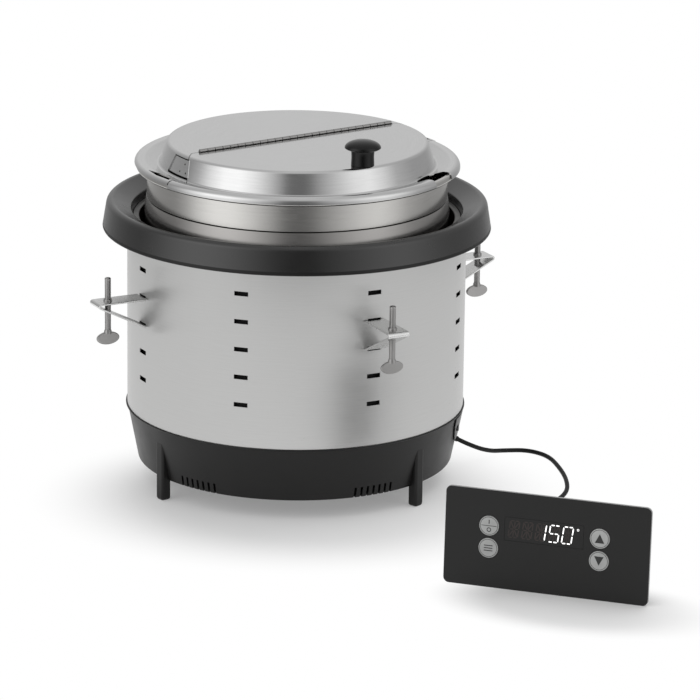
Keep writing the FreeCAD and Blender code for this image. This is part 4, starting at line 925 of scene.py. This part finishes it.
def build_screw(index):
    """A thumb screw: threaded shank, tip, neck and an oval head. Every other head is turned."""
    name = f"clamp_screw_{index + 1}"
    shoulder = SCREW_TOP - SCREW_TIP
    shank = thread(SCREW_RADIUS, SCREW_BOTTOM, shoulder)
    tip = lathe([
        (0, shoulder),
        (SCREW_RADIUS, shoulder),
        (SCREW_RADIUS, SCREW_TOP - SCREW_CHAMFER),
        (SCREW_RADIUS - SCREW_CHAMFER, SCREW_TOP),
        (0, SCREW_TOP),
    ], 24)
    neck = lathe(rounded([
        (0, SCREW_BOTTOM - 1.5),
        (3.6, SCREW_BOTTOM - 1.5),
        (3.4, SCREW_BOTTOM + 0.4, 0.6),
        (SCREW_RADIUS, SCREW_BOTTOM + 2.0),
        (0, SCREW_BOTTOM + 2.0),
    ]), 24)
    head = oval_plate(THUMB_WIDTH, THUMB_HEIGHT, THUMB_SHEET, SCREW_BOTTOM - THUMB_HEIGHT / 2)
    if index % 2 == 0:
        move(head, turn_z(90.0))
    made = join([shank, tip, neck, head])
    move(made, clamp_facing(index) @ shift(SCREW_REACH, 0, 0))
    piece(f"thumb_screw_{index + 1}", made, "screw", name, "hardware_steel", [name], 50.0)


def build_clamp_nuts():
    top = CLAMP_TOP + COLLAR_HEIGHT
    collars = []
    for index in range(CLAMP_COUNT):
        collar = lathe(rounded([
            (COLLAR_BORE, CLAMP_TOP),
            (COLLAR_RADIUS, CLAMP_TOP),
            (COLLAR_RADIUS, top - 0.7, 0.4),
            (COLLAR_RADIUS - 0.5, top, 0.3),
            (COLLAR_BORE, top),
        ]), 32)
        collars.append(move(collar, clamp_facing(index) @ shift(SCREW_REACH, 0, 0)))
    piece("clamp_collars", join(collars), "screw", "kettle", "hardware_steel", ["clamp_nuts"])


# Pot and lid
def build_pot():
    """A deep drawn pot: rolled bead, straight neck, a groove whose dark steel is painted shade, and a
    shoulder that swells below, in darker duller steel that is partly its own finish and partly painted shade
    under the ring.
    """
    bead = Z_RIM - POT_BEAD_HEIGHT
    outline = rounded([
        (0, Z_FLOOR),
        (125.8, Z_FLOOR, 14.0),
        (134.9, 236.0, 40.0),
        (135.6, 247.0, 30.0),
        (134.0, GROOVE_LOW, 0.2),
        (133.0, Z_CREASE),
        (POT_NECK_RADIUS, GROOVE_HIGH),
        (POT_NECK_RADIUS, bead, 1.5),
        (POT_BEAD_RADIUS, bead, 2.2),
        (POT_BEAD_RADIUS, Z_RIM, 1.8),
        (139.0, Z_RIM, 1.7),
        (POT_NECK_INNER, Z_RIM - 8.0, 2.0),
        (POT_NECK_INNER, Z_CREASE + 0.9, 0.4),
        (134.6, 247.0, 30.0),
        (133.8, 236.0, 40.0),
        (124.8, Z_FLOOR + POT_SHEET, 13.0),
        (0, Z_FLOOR + POT_SHEET),
    ], 8.0)
    thing = piece("soup_pot", lathe(outline, 256), "pot", "pot", "pot_steel", ["inset_pot"], 50.0)
    # Below the groove the darker steel is partly the body's finish and partly painted shade under the ring
    refinish(thing, "satin", lambda face: face.center.z < GROOVE_LOW * MM)
    # The groove's faces get the dark steel as painted shade in the crease
    refinish(thing, "liner_and_painted_shade", lambda face: GROOVE_LOW * MM <= face.center.z < GROOVE_HIGH * MM)


def wall_radius_at(height):
    flange = Z_RIM + LID_SHEET
    share = (height - flange) / (Z_LID - flange)
    return LID_WALL_FOOT + (LID_PLATE_RADIUS - LID_WALL_FOOT) * share


def lid_outline(skirt, edge_round):
    """The pressed sheet: plate, sloped wall, valley in the pot's mouth, and edge rolled over its bead."""
    sheet = LID_SHEET
    flange = Z_RIM + sheet
    valley = flange - 3.6
    crest = flange + 1.2
    edge = LID_RADIUS - sheet
    return rounded([
        (0, Z_LID),
        (0, Z_LID - sheet),
        (LID_PLATE_RADIUS - sheet, Z_LID - sheet, 2.7),
        (wall_radius_at(valley) - sheet, valley - sheet, 3.1),
        (LID_CREST_RADIUS + sheet / 4, crest - sheet, 8.1),
        (edge, crest - sheet, edge_round - sheet),
        (edge, flange - skirt),
        (LID_RADIUS, flange - skirt),
        (LID_RADIUS, crest, edge_round),
        (LID_CREST_RADIUS, crest, 9.0),
        (wall_radius_at(valley), valley, 2.2),
        (LID_PLATE_RADIUS, Z_LID, 3.6),
    ], 8.0)


def lid_half(skirt, edge_round, side):
    """One side of the hinge line, which turns forward at its ends, with the room for the knuckles cut out."""
    made = lathe(lid_outline(skirt, edge_round), 256)
    far = 2 * LID_RADIUS
    edge = HINGE_BEHIND + LID_GAP * side
    end = FLAP_END + LID_GAP * side
    right = [(FLAP_CUT[0], edge), (FLAP_CUT[1], end), (far, end), (far, -far)]
    left = [(-across, ahead) for across, ahead in reversed(right)]
    made = carve(made, prism(left + right, 250.0, 330.0), "DIFFERENCE" if side > 0 else "INTERSECT")
    room = HINGE_BEHIND + (HINGE_LEAF[0] if side > 0 else -HINGE_ROOM)
    low, high = sorted((HINGE_BEHIND - side, room))
    reach = HINGE_LENGTH / 2 + 0.3
    return carve(made, box((HINGE_SHORT - reach, low, 300.0), (reach, high, 315.0)))


def around(radius, turn, height, side=1):
    """A point at an angle from the hinge line's end towards the rear, on the left (-1) or the right (1)."""
    angle = math.radians(turn)
    return Vector((side * radius * math.cos(angle), radius * math.sin(angle), height))


def wall_window(side):
    """The room in the rear half's wall where the strip shows, with a slanted rear end."""
    loops = []
    steps = 8
    for height, back in WINDOW_ENDS:
        turns = [WINDOW_START + (back - WINDOW_START) * number / steps for number in range(steps + 1)]
        radius = wall_radius_at(height)
        outer = [around(radius + 2.0, turn, height, side) for turn in turns]
        inner = [around(radius - 2.2, turn, height, side) for turn in reversed(turns)]
        loops.append(outer + inner)
    return loft(loops)


def rim_slot(side):
    """A tapered slot in the rear half's rim, beside the flap's end."""
    return prism([around(radius, turn, 0.0, side).xy for radius, turn in RIM_SLOT], 280.0, 300.0)


def hem(side):
    """The folded end of the flap's wall, as a slim rod from its foot to its shoulder."""
    foot, shoulder = [around(*end, side) for end in HEM_ENDS]
    along = shoulder - foot
    return move(lathe(band(0, HEM_RADIUS, 0, along.length, 0.3), 14), aim(foot, along))


def weld_spot(turn, height, side):
    """A shallow round weld mark on a strip."""
    spot = lathe(rounded([(0, 0), (0.9, 0), (0.7, WELD_LIFT, 0.1), (0, WELD_LIFT)]), 16)
    place = around(wall_radius_at(height) - STRIP_INSET, turn, height, side)
    return move(spot, aim(place, around(1.0, turn, WELD_LEAN, side)))


def build_lid():
    turned = turn_z(LID_TURN)
    rear = lid_half(REAR_SKIRT, REAR_EDGE, 1)
    for side in (-1, 1):
        rear = carve(rear, wall_window(side))
        rear = carve(rear, rim_slot(side))
    piece("lid_back", move(rear, turned), "lid", "lid", "lid_steel", ["lid_rear"], 38.0)

    outline = sloped_band(wall_radius_at, *STRIP_LEVELS, -STRIP_INSET - STRIP_SHEET, -STRIP_INSET)
    strips = [lathe(outline, 24, start, STRIP_SWEEP) for start in STRIP_STARTS]
    spots = [weld_spot(turn, height, side) for turn, height in WELDS for side in (1, -1)]
    piece("lid_strips", move(join(strips), turned), "lid", "lid", "lid_steel", ["lid_joint_strips"])
    piece("lid_welds", move(join(spots), turned), "liner_and_painted_shade", "lid", "lid_steel")

    flap = lid_half(FLAP_SKIRT, FLAP_EDGE, -1)
    half = NOTCH_WIDTH / 2
    outside = -LID_RADIUS - 2.6
    corners = [(half, -NOTCH_INNER, NOTCH_CORNER), (-half, -NOTCH_INNER, NOTCH_CORNER)]
    notch = rounded([(half, outside), *corners, (-half, outside)])
    flap = carve(flap, move(prism(notch, 270.0, 300.0), turn_z(NOTCH_TURN)))
    flap = carve(flap, move(lathe(band(0, KNOB_BORE, 300.0, 315.0), 24), shift(0, -KNOB_REACH, 0)))
    flap = join([flap, hem(-1), hem(1)])
    piece("lid_flap_sheet", move(flap, turned), "lid", "flap", "lid_steel", ["lid_flap"], 38.0)


def build_hinge():
    """Two leaves with interleaved knuckles. The rear one holds the pin. What lies under the plate gets dark
    steel as painted shade, for the gap under the knuckles.
    """
    length = HINGE_LENGTH - HINGE_SHORT
    pitch = length / KNUCKLES
    reach = HINGE_LENGTH / 2
    under = Z_LID - LID_SHEET
    low = under - HINGE_LEAF_SHEET
    for name, node, body, side in (
        ("hinge_rear", "hinge_leaf_rear", "lid", 1),
        ("hinge_front", "hinge_leaf_flap", "flap", -1),
    ):
        near, far = sorted(HINGE_BEHIND + distance * side for distance in HINGE_LEAF)
        parts = [box((-reach, near, low), (reach, far, under))]
        near, far = sorted((HINGE_BEHIND, HINGE_BEHIND + HINGE_ROOM * side))
        for number in range(0 if side > 0 else 1, KNUCKLES, 2):
            start = HINGE_SHORT - reach + pitch * number + KNUCKLE_GAP / 2
            width = pitch - KNUCKLE_GAP
            barrel = lathe(band(KNUCKLE_BORE, KNUCKLE_RADIUS, 0, width, 0.25), 28)
            parts.append(move(barrel, aim((start, HINGE_BEHIND, Z_HINGE), (1, 0, 0))))
            parts.append(box((start, near, low), (start + width, far, under - 0.02)))
        nodes = [node]
        if side > 0:
            pin = lathe(band(0, HINGE_PIN_RADIUS, 0, length, 0.2), 20)
            parts.append(move(pin, aim((HINGE_SHORT - reach, HINGE_BEHIND, Z_HINGE), (1, 0, 0))))
            nodes.append("hinge_pin")
        made = move(join(parts), turn_z(LID_TURN))
        thing = piece(name, made, "hinge", body, "lid_steel", nodes, 40.0)
        # Painted shade: the faces under the plate take the dark steel so the gap under the barrel reads dark
        refinish(thing, "liner_and_painted_shade", lambda face: face.center.z < (Z_LID - LID_SHEET / 2) * MM)


def build_knob():
    top = Z_LID + KNOB_HEIGHT
    rim = top - KNOB_DOME
    bore = Z_LID + KNOB_BORE_DEPTH
    dome = []
    steps = 13
    for number in range(1, steps):
        angle = math.pi / 2 * number / steps
        dome.append((KNOB_RADIUS * math.cos(angle), rim + KNOB_DOME * math.sin(angle)))
    outline = rounded([
        (KNOB_BORE, Z_LID),
        (10.2, Z_LID, 0.4),
        (9.9, Z_LID + 8.0),
        (10.3, rim - 1.6, 0.5),
        (14.6, rim - 1.0, 0.5),
        (KNOB_RADIUS, rim, 0.4),
        *dome,
        (0, top),
        (0, bore),
        (KNOB_BORE, bore),
    ], 10.0)
    made = move(lathe(outline, 96), turn_z(LID_TURN) @ shift(*KNOB_PLACE))
    piece("lid_handle", made, "knob", "flap", "knob_black", ["lid_knob"], 50.0)


# Control panel
def panel_matrix():
    turn = turn_z(PANEL_YAW) @ Matrix.Rotation(math.radians(-PANEL_LEAN), 4, "X")
    return shift(*PANEL_PLACE) @ turn


def panel_piece(name, made, *rest, **more):
    """A piece whose mesh is made on an upright panel at the origin."""
    return piece(name, move(made, panel_matrix()), *rest, **more)


def rounded_block(left, low, right, high, radius, layers, fall=0.0):
    """A block with rounded corners, from layers of (depth, inset). Its top may fall with the depth."""
    loops = []
    for depth, inset in layers:
        corner = max(0.05, radius - inset)
        top = high - inset - fall * (depth - layers[0][0])
        outline = rounded([
            (left + inset, low + inset, corner),
            (right - inset, low + inset, corner),
            (right - inset, top, corner),
            (left + inset, top, corner),
        ], 10.0)
        loops.append([(point.x, depth, point.y) for point in outline])
    return loft(loops)


def disc(across, up, outline, segments=64):
    """A turned piece on the panel: the outline is (radius, depth behind the face)."""
    made = lathe([(radius, -depth) for radius, depth in outline], segments)
    return move(made, aim((across, 0, up), (0, -1, 0)))


def flat_shape(outline, depth, lift):
    """A thin raised shape on the panel's face."""
    return loft([[(across, level, up) for across, up in outline] for level in (depth, depth - lift)])


def bar(across, up, width, height):
    left, right = across - width / 2, across + width / 2
    low, high = up - height / 2, up + height / 2
    return [(left, low), (right, low), (right, high), (left, high)]


def build_panel():
    half = PANEL_WIDTH / 2
    layers = ((0.0, 0.5), (0.12, 0.2), (0.45, 0.0), (2.6, 0.0), (2.9, 0.15), (PANEL_SHEET, 0.4))
    plate = rounded_block(-half, 0.0, half, PANEL_HEIGHT, PANEL_CORNER, layers)
    left, low, right, high = WINDOW
    cutters = [box((left, -2, low), (right, 6, high))]
    cutters += [disc(*place, band(0, BUTTON_RADIUS + BUTTON_GAP, -3, 6)) for place in BUTTONS.values()]
    plate = carve(plate, join(cutters))
    thing = panel_piece("panel_plate", plate, "panel", "kettle", "panel_black", ["panel_faceplate"], 50.0)
    # The plate's edge faces get the lighter grey, partly painted highlight along its bevel
    refinish(thing, "panel_edge_and_highlight", is_plate_edge)

    layers = ((PANEL_SHEET, 0.0), (38.0, 0.0), (40.5, 0.6), (41.9, 1.7), (CASE_BACK, 3.2))
    half = CASE_WIDTH / 2
    housing = rounded_block(-half, CASE_LOW, half, CASE_HIGH, CASE_CORNER, layers, CASE_FALL)
    panel_piece("panel_case", housing, "housing", "kettle", "housing_black", ["panel_housing"], 30.0)
    layers = ((0.0, WINDOW_GAP + 0.1), (0.1, WINDOW_GAP), (2.2, WINDOW_GAP))
    pane = rounded_block(*WINDOW, 0.4, layers)
    panel_piece("display_pane", pane, "window", "kettle", "window_black", ["display_window"], 50.0)
    build_screen()
    for name, (across, up) in BUTTONS.items():
        build_button(name, across, up)
    build_panel_screws()


def is_plate_edge(face):
    """Whether a face of the panel's plate is on its outer edge, and not on a hole, the front or the back."""
    placed = panel_matrix()
    across, _, up = (placed.inverted() @ face.center) / MM
    margin = 1.2 + (1 - 1 / math.sqrt(2)) * PANEL_CORNER
    outside = abs(across) > PANEL_WIDTH / 2 - margin or up < margin or up > PANEL_HEIGHT - margin
    return outside and abs(face.normal.dot(placed.to_3x3() @ Vector((0, 1, 0)))) < 0.9


def build_button(name, across, up):
    face = -BUTTON_PROUD
    outline = rounded([
        (0, face),
        (BUTTON_RADIUS, face, 0.3),
        (BUTTON_RADIUS, 3.3),
        (BUTTON_FLANGE, 3.3),
        (BUTTON_FLANGE, 4.3),
        (BUTTON_STEM, 4.3),
        (BUTTON_STEM, 8.8),
        (0, 8.8),
    ])
    panel_piece(f"{name}_cap", disc(across, up, outline), "button", name, "button_grey", [name], 40.0)
    marks = [disc(across, up, band(*BUTTON_RING, face, face - RING_LIFT))]
    shapes = []
    if name == "power_button":
        shapes = [bar(across, up, 13.2, 0.5), bar(across, up + 3.4, 0.8, 3.4)]
        marks.append(disc(across, up - 3.4, band(1.25, 1.95, face, face - MARK_LIFT), 32))
    elif name == "function_button":
        shapes = [bar(across, up + step, 7.6, 0.8) for step in (-2.2, 0.0, 2.2)]
    else:
        rise = 3.9 if name == "up_button" else -3.9
        shapes = [[(across - 4.1, up - rise), (across + 4.1, up - rise), (across, up + rise)]]
    marks += [flat_shape(shape, face, MARK_LIFT) for shape in shapes]
    panel_piece(f"{name}_mark", join(marks), "mark", name, "panel_black", sharp=50.0)


def cell_strokes():
    """A display cell's strokes by name. Each joins two of nine points, three across and three up."""
    strokes = {}
    for row, level in enumerate(("low", "middle", "top")):
        for column, side in enumerate(("left", "right")):
            strokes[f"{level}_{side}"] = ((column, row), (column + 1, row))
    for column, side in enumerate(("left", "centre", "right")):
        for row, level in enumerate(("low", "high")):
            strokes[f"{side}_{level}"] = ((column, row), (column, row + 1))
    for column in (0, 2):
        for row in (0, 2):
            strokes[f"slant_{column}_{row}"] = ((1, 1), (column, row))
    return strokes


def cell_point(cell, column, row):
    up = CELL_HEIGHT / 2 * row
    across = CELL_FIRST + CELL_PITCH * cell + CELL_WIDTH / 2 * column + CELL_SLANT * up
    return Vector((across, CELL_LOW + up))


def stroke_shape(first, last):
    """A slim bar with pointed ends between two points."""
    along = (last - first).normalized()
    side = Vector((-along.y, along.x)) * STROKE / 2
    first = first + along * STROKE_GAP
    last = last - along * STROKE_GAP
    tip = along * STROKE_TIP
    return [first - tip, first - side, last - side, last + tip, last + side, first + side]


def build_screen():
    lit = []
    unlit = []
    for cell, glyph in enumerate(READING):
        for name, (first, last) in cell_strokes().items():
            shape = stroke_shape(cell_point(cell, *first), cell_point(cell, *last))
            group = lit if name in GLYPHS[glyph] else unlit
            group.append(flat_shape(shape, STROKE_LEVEL, STROKE_LIFT))
    degree = band(*DEGREE_RING, STROKE_LEVEL, STROKE_LEVEL - STROKE_LIFT)
    lit.append(disc(*DEGREE_PLACE, degree, 24))
    panel_piece("display_digits", join(lit), "lit", "kettle", "window_black", sharp=50.0)
    panel_piece("display_ghosts", join(unlit), "unlit", "kettle", "window_black", sharp=50.0)


def build_panel_screws():
    """Round heads with a cross recess, whose two bars differ in depth by a hair."""
    screws = []
    for across in CASE_SCREWS_ACROSS:
        for up in CASE_SCREWS_UP:
            head = lathe(rounded([(0, 0), (3.0, 0), (3.0, 1.1, 0.3), (1.8, 2.0, 0.5), (0, 2.0)]), 32)
            cross = join([box((-0.4, -1.6, 1.2), (0.4, 1.6, 3.0)), box((-1.6, -0.4, 1.21), (1.6, 0.4, 3.01))])
            screws.append(move(carve(head, cross), aim((across, CASE_BACK, up), (0, 1, 0))))
    panel_piece("case_screws", join(screws), "screw", "kettle", "hardware_steel", ["panel_screws"])


# Cable, grommets and gland
def ribbed_nose(length, root, tip, ribs):
    """A tapered strain relief with soft ribs round it."""
    outline = [(0, 0), (root, 0)]
    for number in range(ribs):
        for share, swell in ((0.15, 0.0), (0.35, 0.35), (0.65, 0.35), (0.85, 0.0)):
            along = length * (number + share) / ribs
            outline.append((root + (tip - root) * along / length + swell * (tip / root), along))
    outline += [(tip, length - 0.3), (tip - 0.3, length), (0, length)]
    return lathe(outline, 36)


def build_cable():
    tilt = math.radians(GROMMET_TILT)
    direction = facing_point(math.cos(tilt), GROMMET_TURN, -math.sin(tilt))
    height = Z_BASE + GROMMET_HEIGHT
    root = facing_point(base_radius_at(height), GROMMET_TURN, height)
    start = root + direction * (GROMMET_NOSE - GROMMET_SUNK)
    first = start + direction * CABLE_STRAIGHT
    across, back, up = PANEL_GROMMET
    end = Vector((across, back + PANEL_GROMMET_LENGTH, up)) * MM
    last = Vector((across, back + PANEL_GROMMET_LENGTH + CABLE_STRAIGHT, up)) * MM
    panel = panel_matrix()
    points = [start * MM, first * MM, *CABLE_POINTS, panel @ last, panel @ end]
    curve = bpy.data.curves.new("panel_cable", "CURVE")
    curve.dimensions = "3D"
    curve.bevel_depth = CABLE_DIAMETER / 2
    curve.bevel_resolution = 6
    curve.resolution_u = 10
    curve.use_fill_caps = True
    spline = curve.splines.new("NURBS")
    spline.points.add(len(points) - 1)
    for control, point in zip(spline.points, points):
        control.co = (*point, 1.0)
    spline.order_u = 3
    spline.use_endpoint_u = True
    curve.materials.append(MATERIALS["rubber"])
    cable = put_object("panel_cable", curve)
    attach(cable, "kettle")
    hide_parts("control_cable")

    nose = ribbed_nose(GROMMET_NOSE, *GROMMET_RADII, 4)
    move(nose, aim(root - direction * GROMMET_SUNK, direction))
    block = move(box((138.2, -5.2, 21.0), (142.7, 5.2, 32.7)), face_angle(GROMMET_TURN))
    piece("base_grommet", join([nose, block]), "rubber", "kettle", "rubber_black", ["cable_grommet"], 40.0)
    nose = ribbed_nose(PANEL_GROMMET_LENGTH, *PANEL_GROMMET_RADII, 3)
    move(nose, aim(PANEL_GROMMET, (0, 1, 0)))
    panel_piece("case_grommet", nose, "rubber", "kettle", "rubber_black", ["panel_grommet"], 40.0)


def build_gland():
    """The round entry for the mains lead, with grip flutes round it."""
    made = lathe(rounded([
        (GLAND_BORE, -GLAND_DEPTH),
        (GLAND_NECK, -GLAND_DEPTH),
        (GLAND_NECK, 0),
        (GLAND_RADIUS, 0, 0.6),
        (GLAND_RADIUS, GLAND_PROUD, 1.6),
        (GLAND_BORE, GLAND_PROUD, 0.6),
    ]), 72)
    flutes = []
    for number in range(GLAND_GRIPS):
        flute = lathe(band(0, 0.8, -1, 10), 10)
        flutes.append(move(flute, turn_z(360.0 / GLAND_GRIPS * number) @ shift(GLAND_RADIUS + 0.1, 0, 0)))
    made = carve(made, join(flutes))
    seat = base_radius_at(GLAND_HEIGHT + GLAND_RADIUS)
    move(made, aim((0, seat, GLAND_HEIGHT), (0, 1, 0)))
    piece("mains_entry", made, "rubber", "kettle", "rubber_black", ["mains_gland"], 40.0)


# Finish of the nodes that stay as they are
NODE_MATERIALS = {
    "bottom_cover": "base",
    "terminal_cover_screws": "base",
    "cover_screws": "screw",
    "well_floor": "glass",
    "insulation_sleeve": "wool",
    "coil_former": "former",
    "induction_coil": "copper",
    "ferrite_bars": "ferrite",
    "temperature_sensor": "former",
    "power_board": "board",
    "board_standoffs": "former",
    "heat_sink": "aluminium",
    "fan_frame": "housing",
    "fan_rotor": "housing",
    "knob_screw": "screw",
    "display_module": "housing",
    "panel_board": "board",
    "tact_switches": "housing",
}


def dress_nodes():
    for node, material in NODE_MATERIALS.items():
        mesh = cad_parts[node].data
        mesh.materials.clear()
        mesh.materials.append(MATERIALS[material])


# Stage, lamp and camera
def white_away_from(material, place, turn, length, depth, fill):
    """How white a floor point is, from fill near an oval shadow's middle to 1 outside it."""
    local = add_node(
        material, "ShaderNodeMapping", vector_type="TEXTURE", Vector=object_point(material),
        Location=(*place, 0.0), Rotation=(0.0, 0.0, math.radians(turn)), Scale=(length, depth, 1.0),
    )
    offset = add_node(material, "ShaderNodeVectorMath", local.outputs[0], operation="LENGTH")
    fade = add_node(
        material, "ShaderNodeMapRange", interpolation_type="SMOOTHSTEP",
        Value=offset.outputs["Value"], From_Min=0.5, To_Min=fill,
    )
    return fade.outputs["Result"]


def build_floor():
    """A round white sheet, which keeps the kettle's and the panel's shadows and is plain white elsewhere."""
    made = bmesh.new()
    bmesh.ops.create_circle(made, cap_ends=True, radius=FLOOR_RADIUS, segments=128)
    floor = put_object("floor", made)
    material = shader("floor_white", (0.92, 0.92, 0.92), 0.0, 0.7)
    path = add_node(material, "ShaderNodeLightPath").outputs
    seen = calculate(material, "MAXIMUM", path["Is Camera Ray"], path["Is Glossy Ray"])
    shadows = [white_away_from(material, *oval) for oval in (KETTLE_SHADOW, PANEL_SHADOW)]
    share = calculate(material, "MULTIPLY", seen, calculate(material, "MINIMUM", *shadows))
    white = add_node(material, "ShaderNodeEmission", Color=(1.0, 1.0, 1.0, 1.0))
    nodes = material.node_tree.nodes
    lit = nodes["Principled BSDF"].outputs[0]
    mix = add_node(material, "ShaderNodeMixShader", share, lit, white.outputs[0])
    feed(material, nodes["Material Output"], Surface=mix.outputs[0])
    floor.data.materials.append(material)


def build_world():
    """White to the camera. To everything else it is a studio: dark towards the camera, bright screens to the
    left and right of it, grey at the sides, and paler behind and overhead."""
    world = bpy.data.worlds.new("studio")
    bpy.context.scene.world = world
    world.use_nodes = True
    toward = add_node(world, "ShaderNodeTexCoord").outputs["Generated"]
    split = add_node(world, "ShaderNodeSeparateXYZ", toward).outputs
    angle = calculate(world, "ARCTAN2", split["X"], calculate(world, "MULTIPLY", split["Y"], -1.0))
    turn = add_node(world, "ShaderNodeMapRange", Value=angle, From_Min=-math.pi, From_Max=math.pi)
    ramp = add_node(world, "ShaderNodeValToRGB", turn.outputs["Result"])
    stops = ramp.color_ramp.elements
    while len(stops) < len(STUDIO):
        stops.new(0.5)
    for stop, (degrees, level) in zip(stops, STUDIO):
        stop.position = (degrees + 180.0) / 360.0
        stop.color = (level / STUDIO_SCALE,) * 3 + (1.0,)
    height = add_node(
        world, "ShaderNodeMapRange", Value=split["Z"], From_Min=-0.28, From_Max=0.34,
        To_Min=STUDIO_LOW * STUDIO_SCALE, To_Max=STUDIO_SCALE,
    )
    level = calculate(world, "MULTIPLY", ramp.outputs["Color"], height.outputs["Result"])
    high = add_node(world, "ShaderNodeMapRange", Value=split["Z"], From_Min=0.5, From_Max=0.9)
    overhead = add_node(world, "ShaderNodeMix", Factor=high.outputs["Result"], A=level, B=CEILING)
    seen = add_node(world, "ShaderNodeLightPath").outputs["Is Camera Ray"]
    shown = add_node(world, "ShaderNodeMix", Factor=seen, A=overhead.outputs["Result"], B=1.0)
    background = world.node_tree.nodes["Background"]
    feed(world, background, Color=(1.0, 1.0, 1.0, 1.0), Strength=shown.outputs["Result"])


def build_lamp():
    """One large soft lamp behind and above, kept out of reflections so that it doesn't bleach the lid."""
    data = bpy.data.lights.new("key_box", "AREA")
    data.shape = "RECTANGLE"
    data.size = LAMP_SIZE
    data.size_y = LAMP_SIZE
    data.energy = LAMP_POWER
    lamp = put_object("key_box", data)
    lamp.location = LAMP_PLACE
    lamp.rotation_euler = (Vector(LAMP_TARGET) - Vector(LAMP_PLACE)).to_track_quat("-Z", "Y").to_euler()
    lamp.visible_glossy = False


def build_camera():
    """The photograph's view: the pixel and distance of a point on the kettle's axis, and the roll."""
    elevation = math.radians(CAMERA_ELEVATION)
    place = Vector((
        0.0,
        -CAMERA_DISTANCE * math.cos(elevation),
        AXIS_HEIGHT + CAMERA_DISTANCE * math.sin(elevation),
    ))
    middle = IMAGE_SIZE / 2
    yaw = -math.atan((AXIS_PIXEL[0] - middle) / FOCAL_PIXELS)
    pitch = elevation - math.atan((AXIS_PIXEL[1] - middle) / FOCAL_PIXELS)
    ahead = Vector((
        math.sin(yaw) * math.cos(pitch),
        math.cos(yaw) * math.cos(pitch),
        -math.sin(pitch),
    ))
    right = Vector((math.cos(yaw), -math.sin(yaw), 0.0))
    up = right.cross(ahead)
    roll = math.radians(CAMERA_ROLL)
    right, up = (
        right * math.cos(roll) + up * math.sin(roll),
        up * math.cos(roll) - right * math.sin(roll),
    )
    data = bpy.data.cameras.new("photo_camera")
    data.sensor_width = SENSOR
    data.lens = FOCAL_PIXELS / IMAGE_SIZE * SENSOR
    data.clip_end = 50.0
    camera = put_object("photo_camera", data)
    camera.matrix_world = Matrix.Translation(place * MM) @ Matrix((right, up, -ahead)).transposed().to_4x4()
    bpy.context.scene.camera = camera


build_camera()
build_cable()
build_ring()
build_shell()
build_base()
build_feet()
build_well()
for clamp in range(CLAMP_COUNT):
    build_clamp(clamp)
    build_screw(clamp)
build_clamp_nuts()
build_pot()
build_lid()
build_hinge()
build_knob()
build_panel()
build_gland()
dress_nodes()
build_floor()
build_world()
build_lamp()
bpy.context.scene.view_settings.view_transform = "Standard"
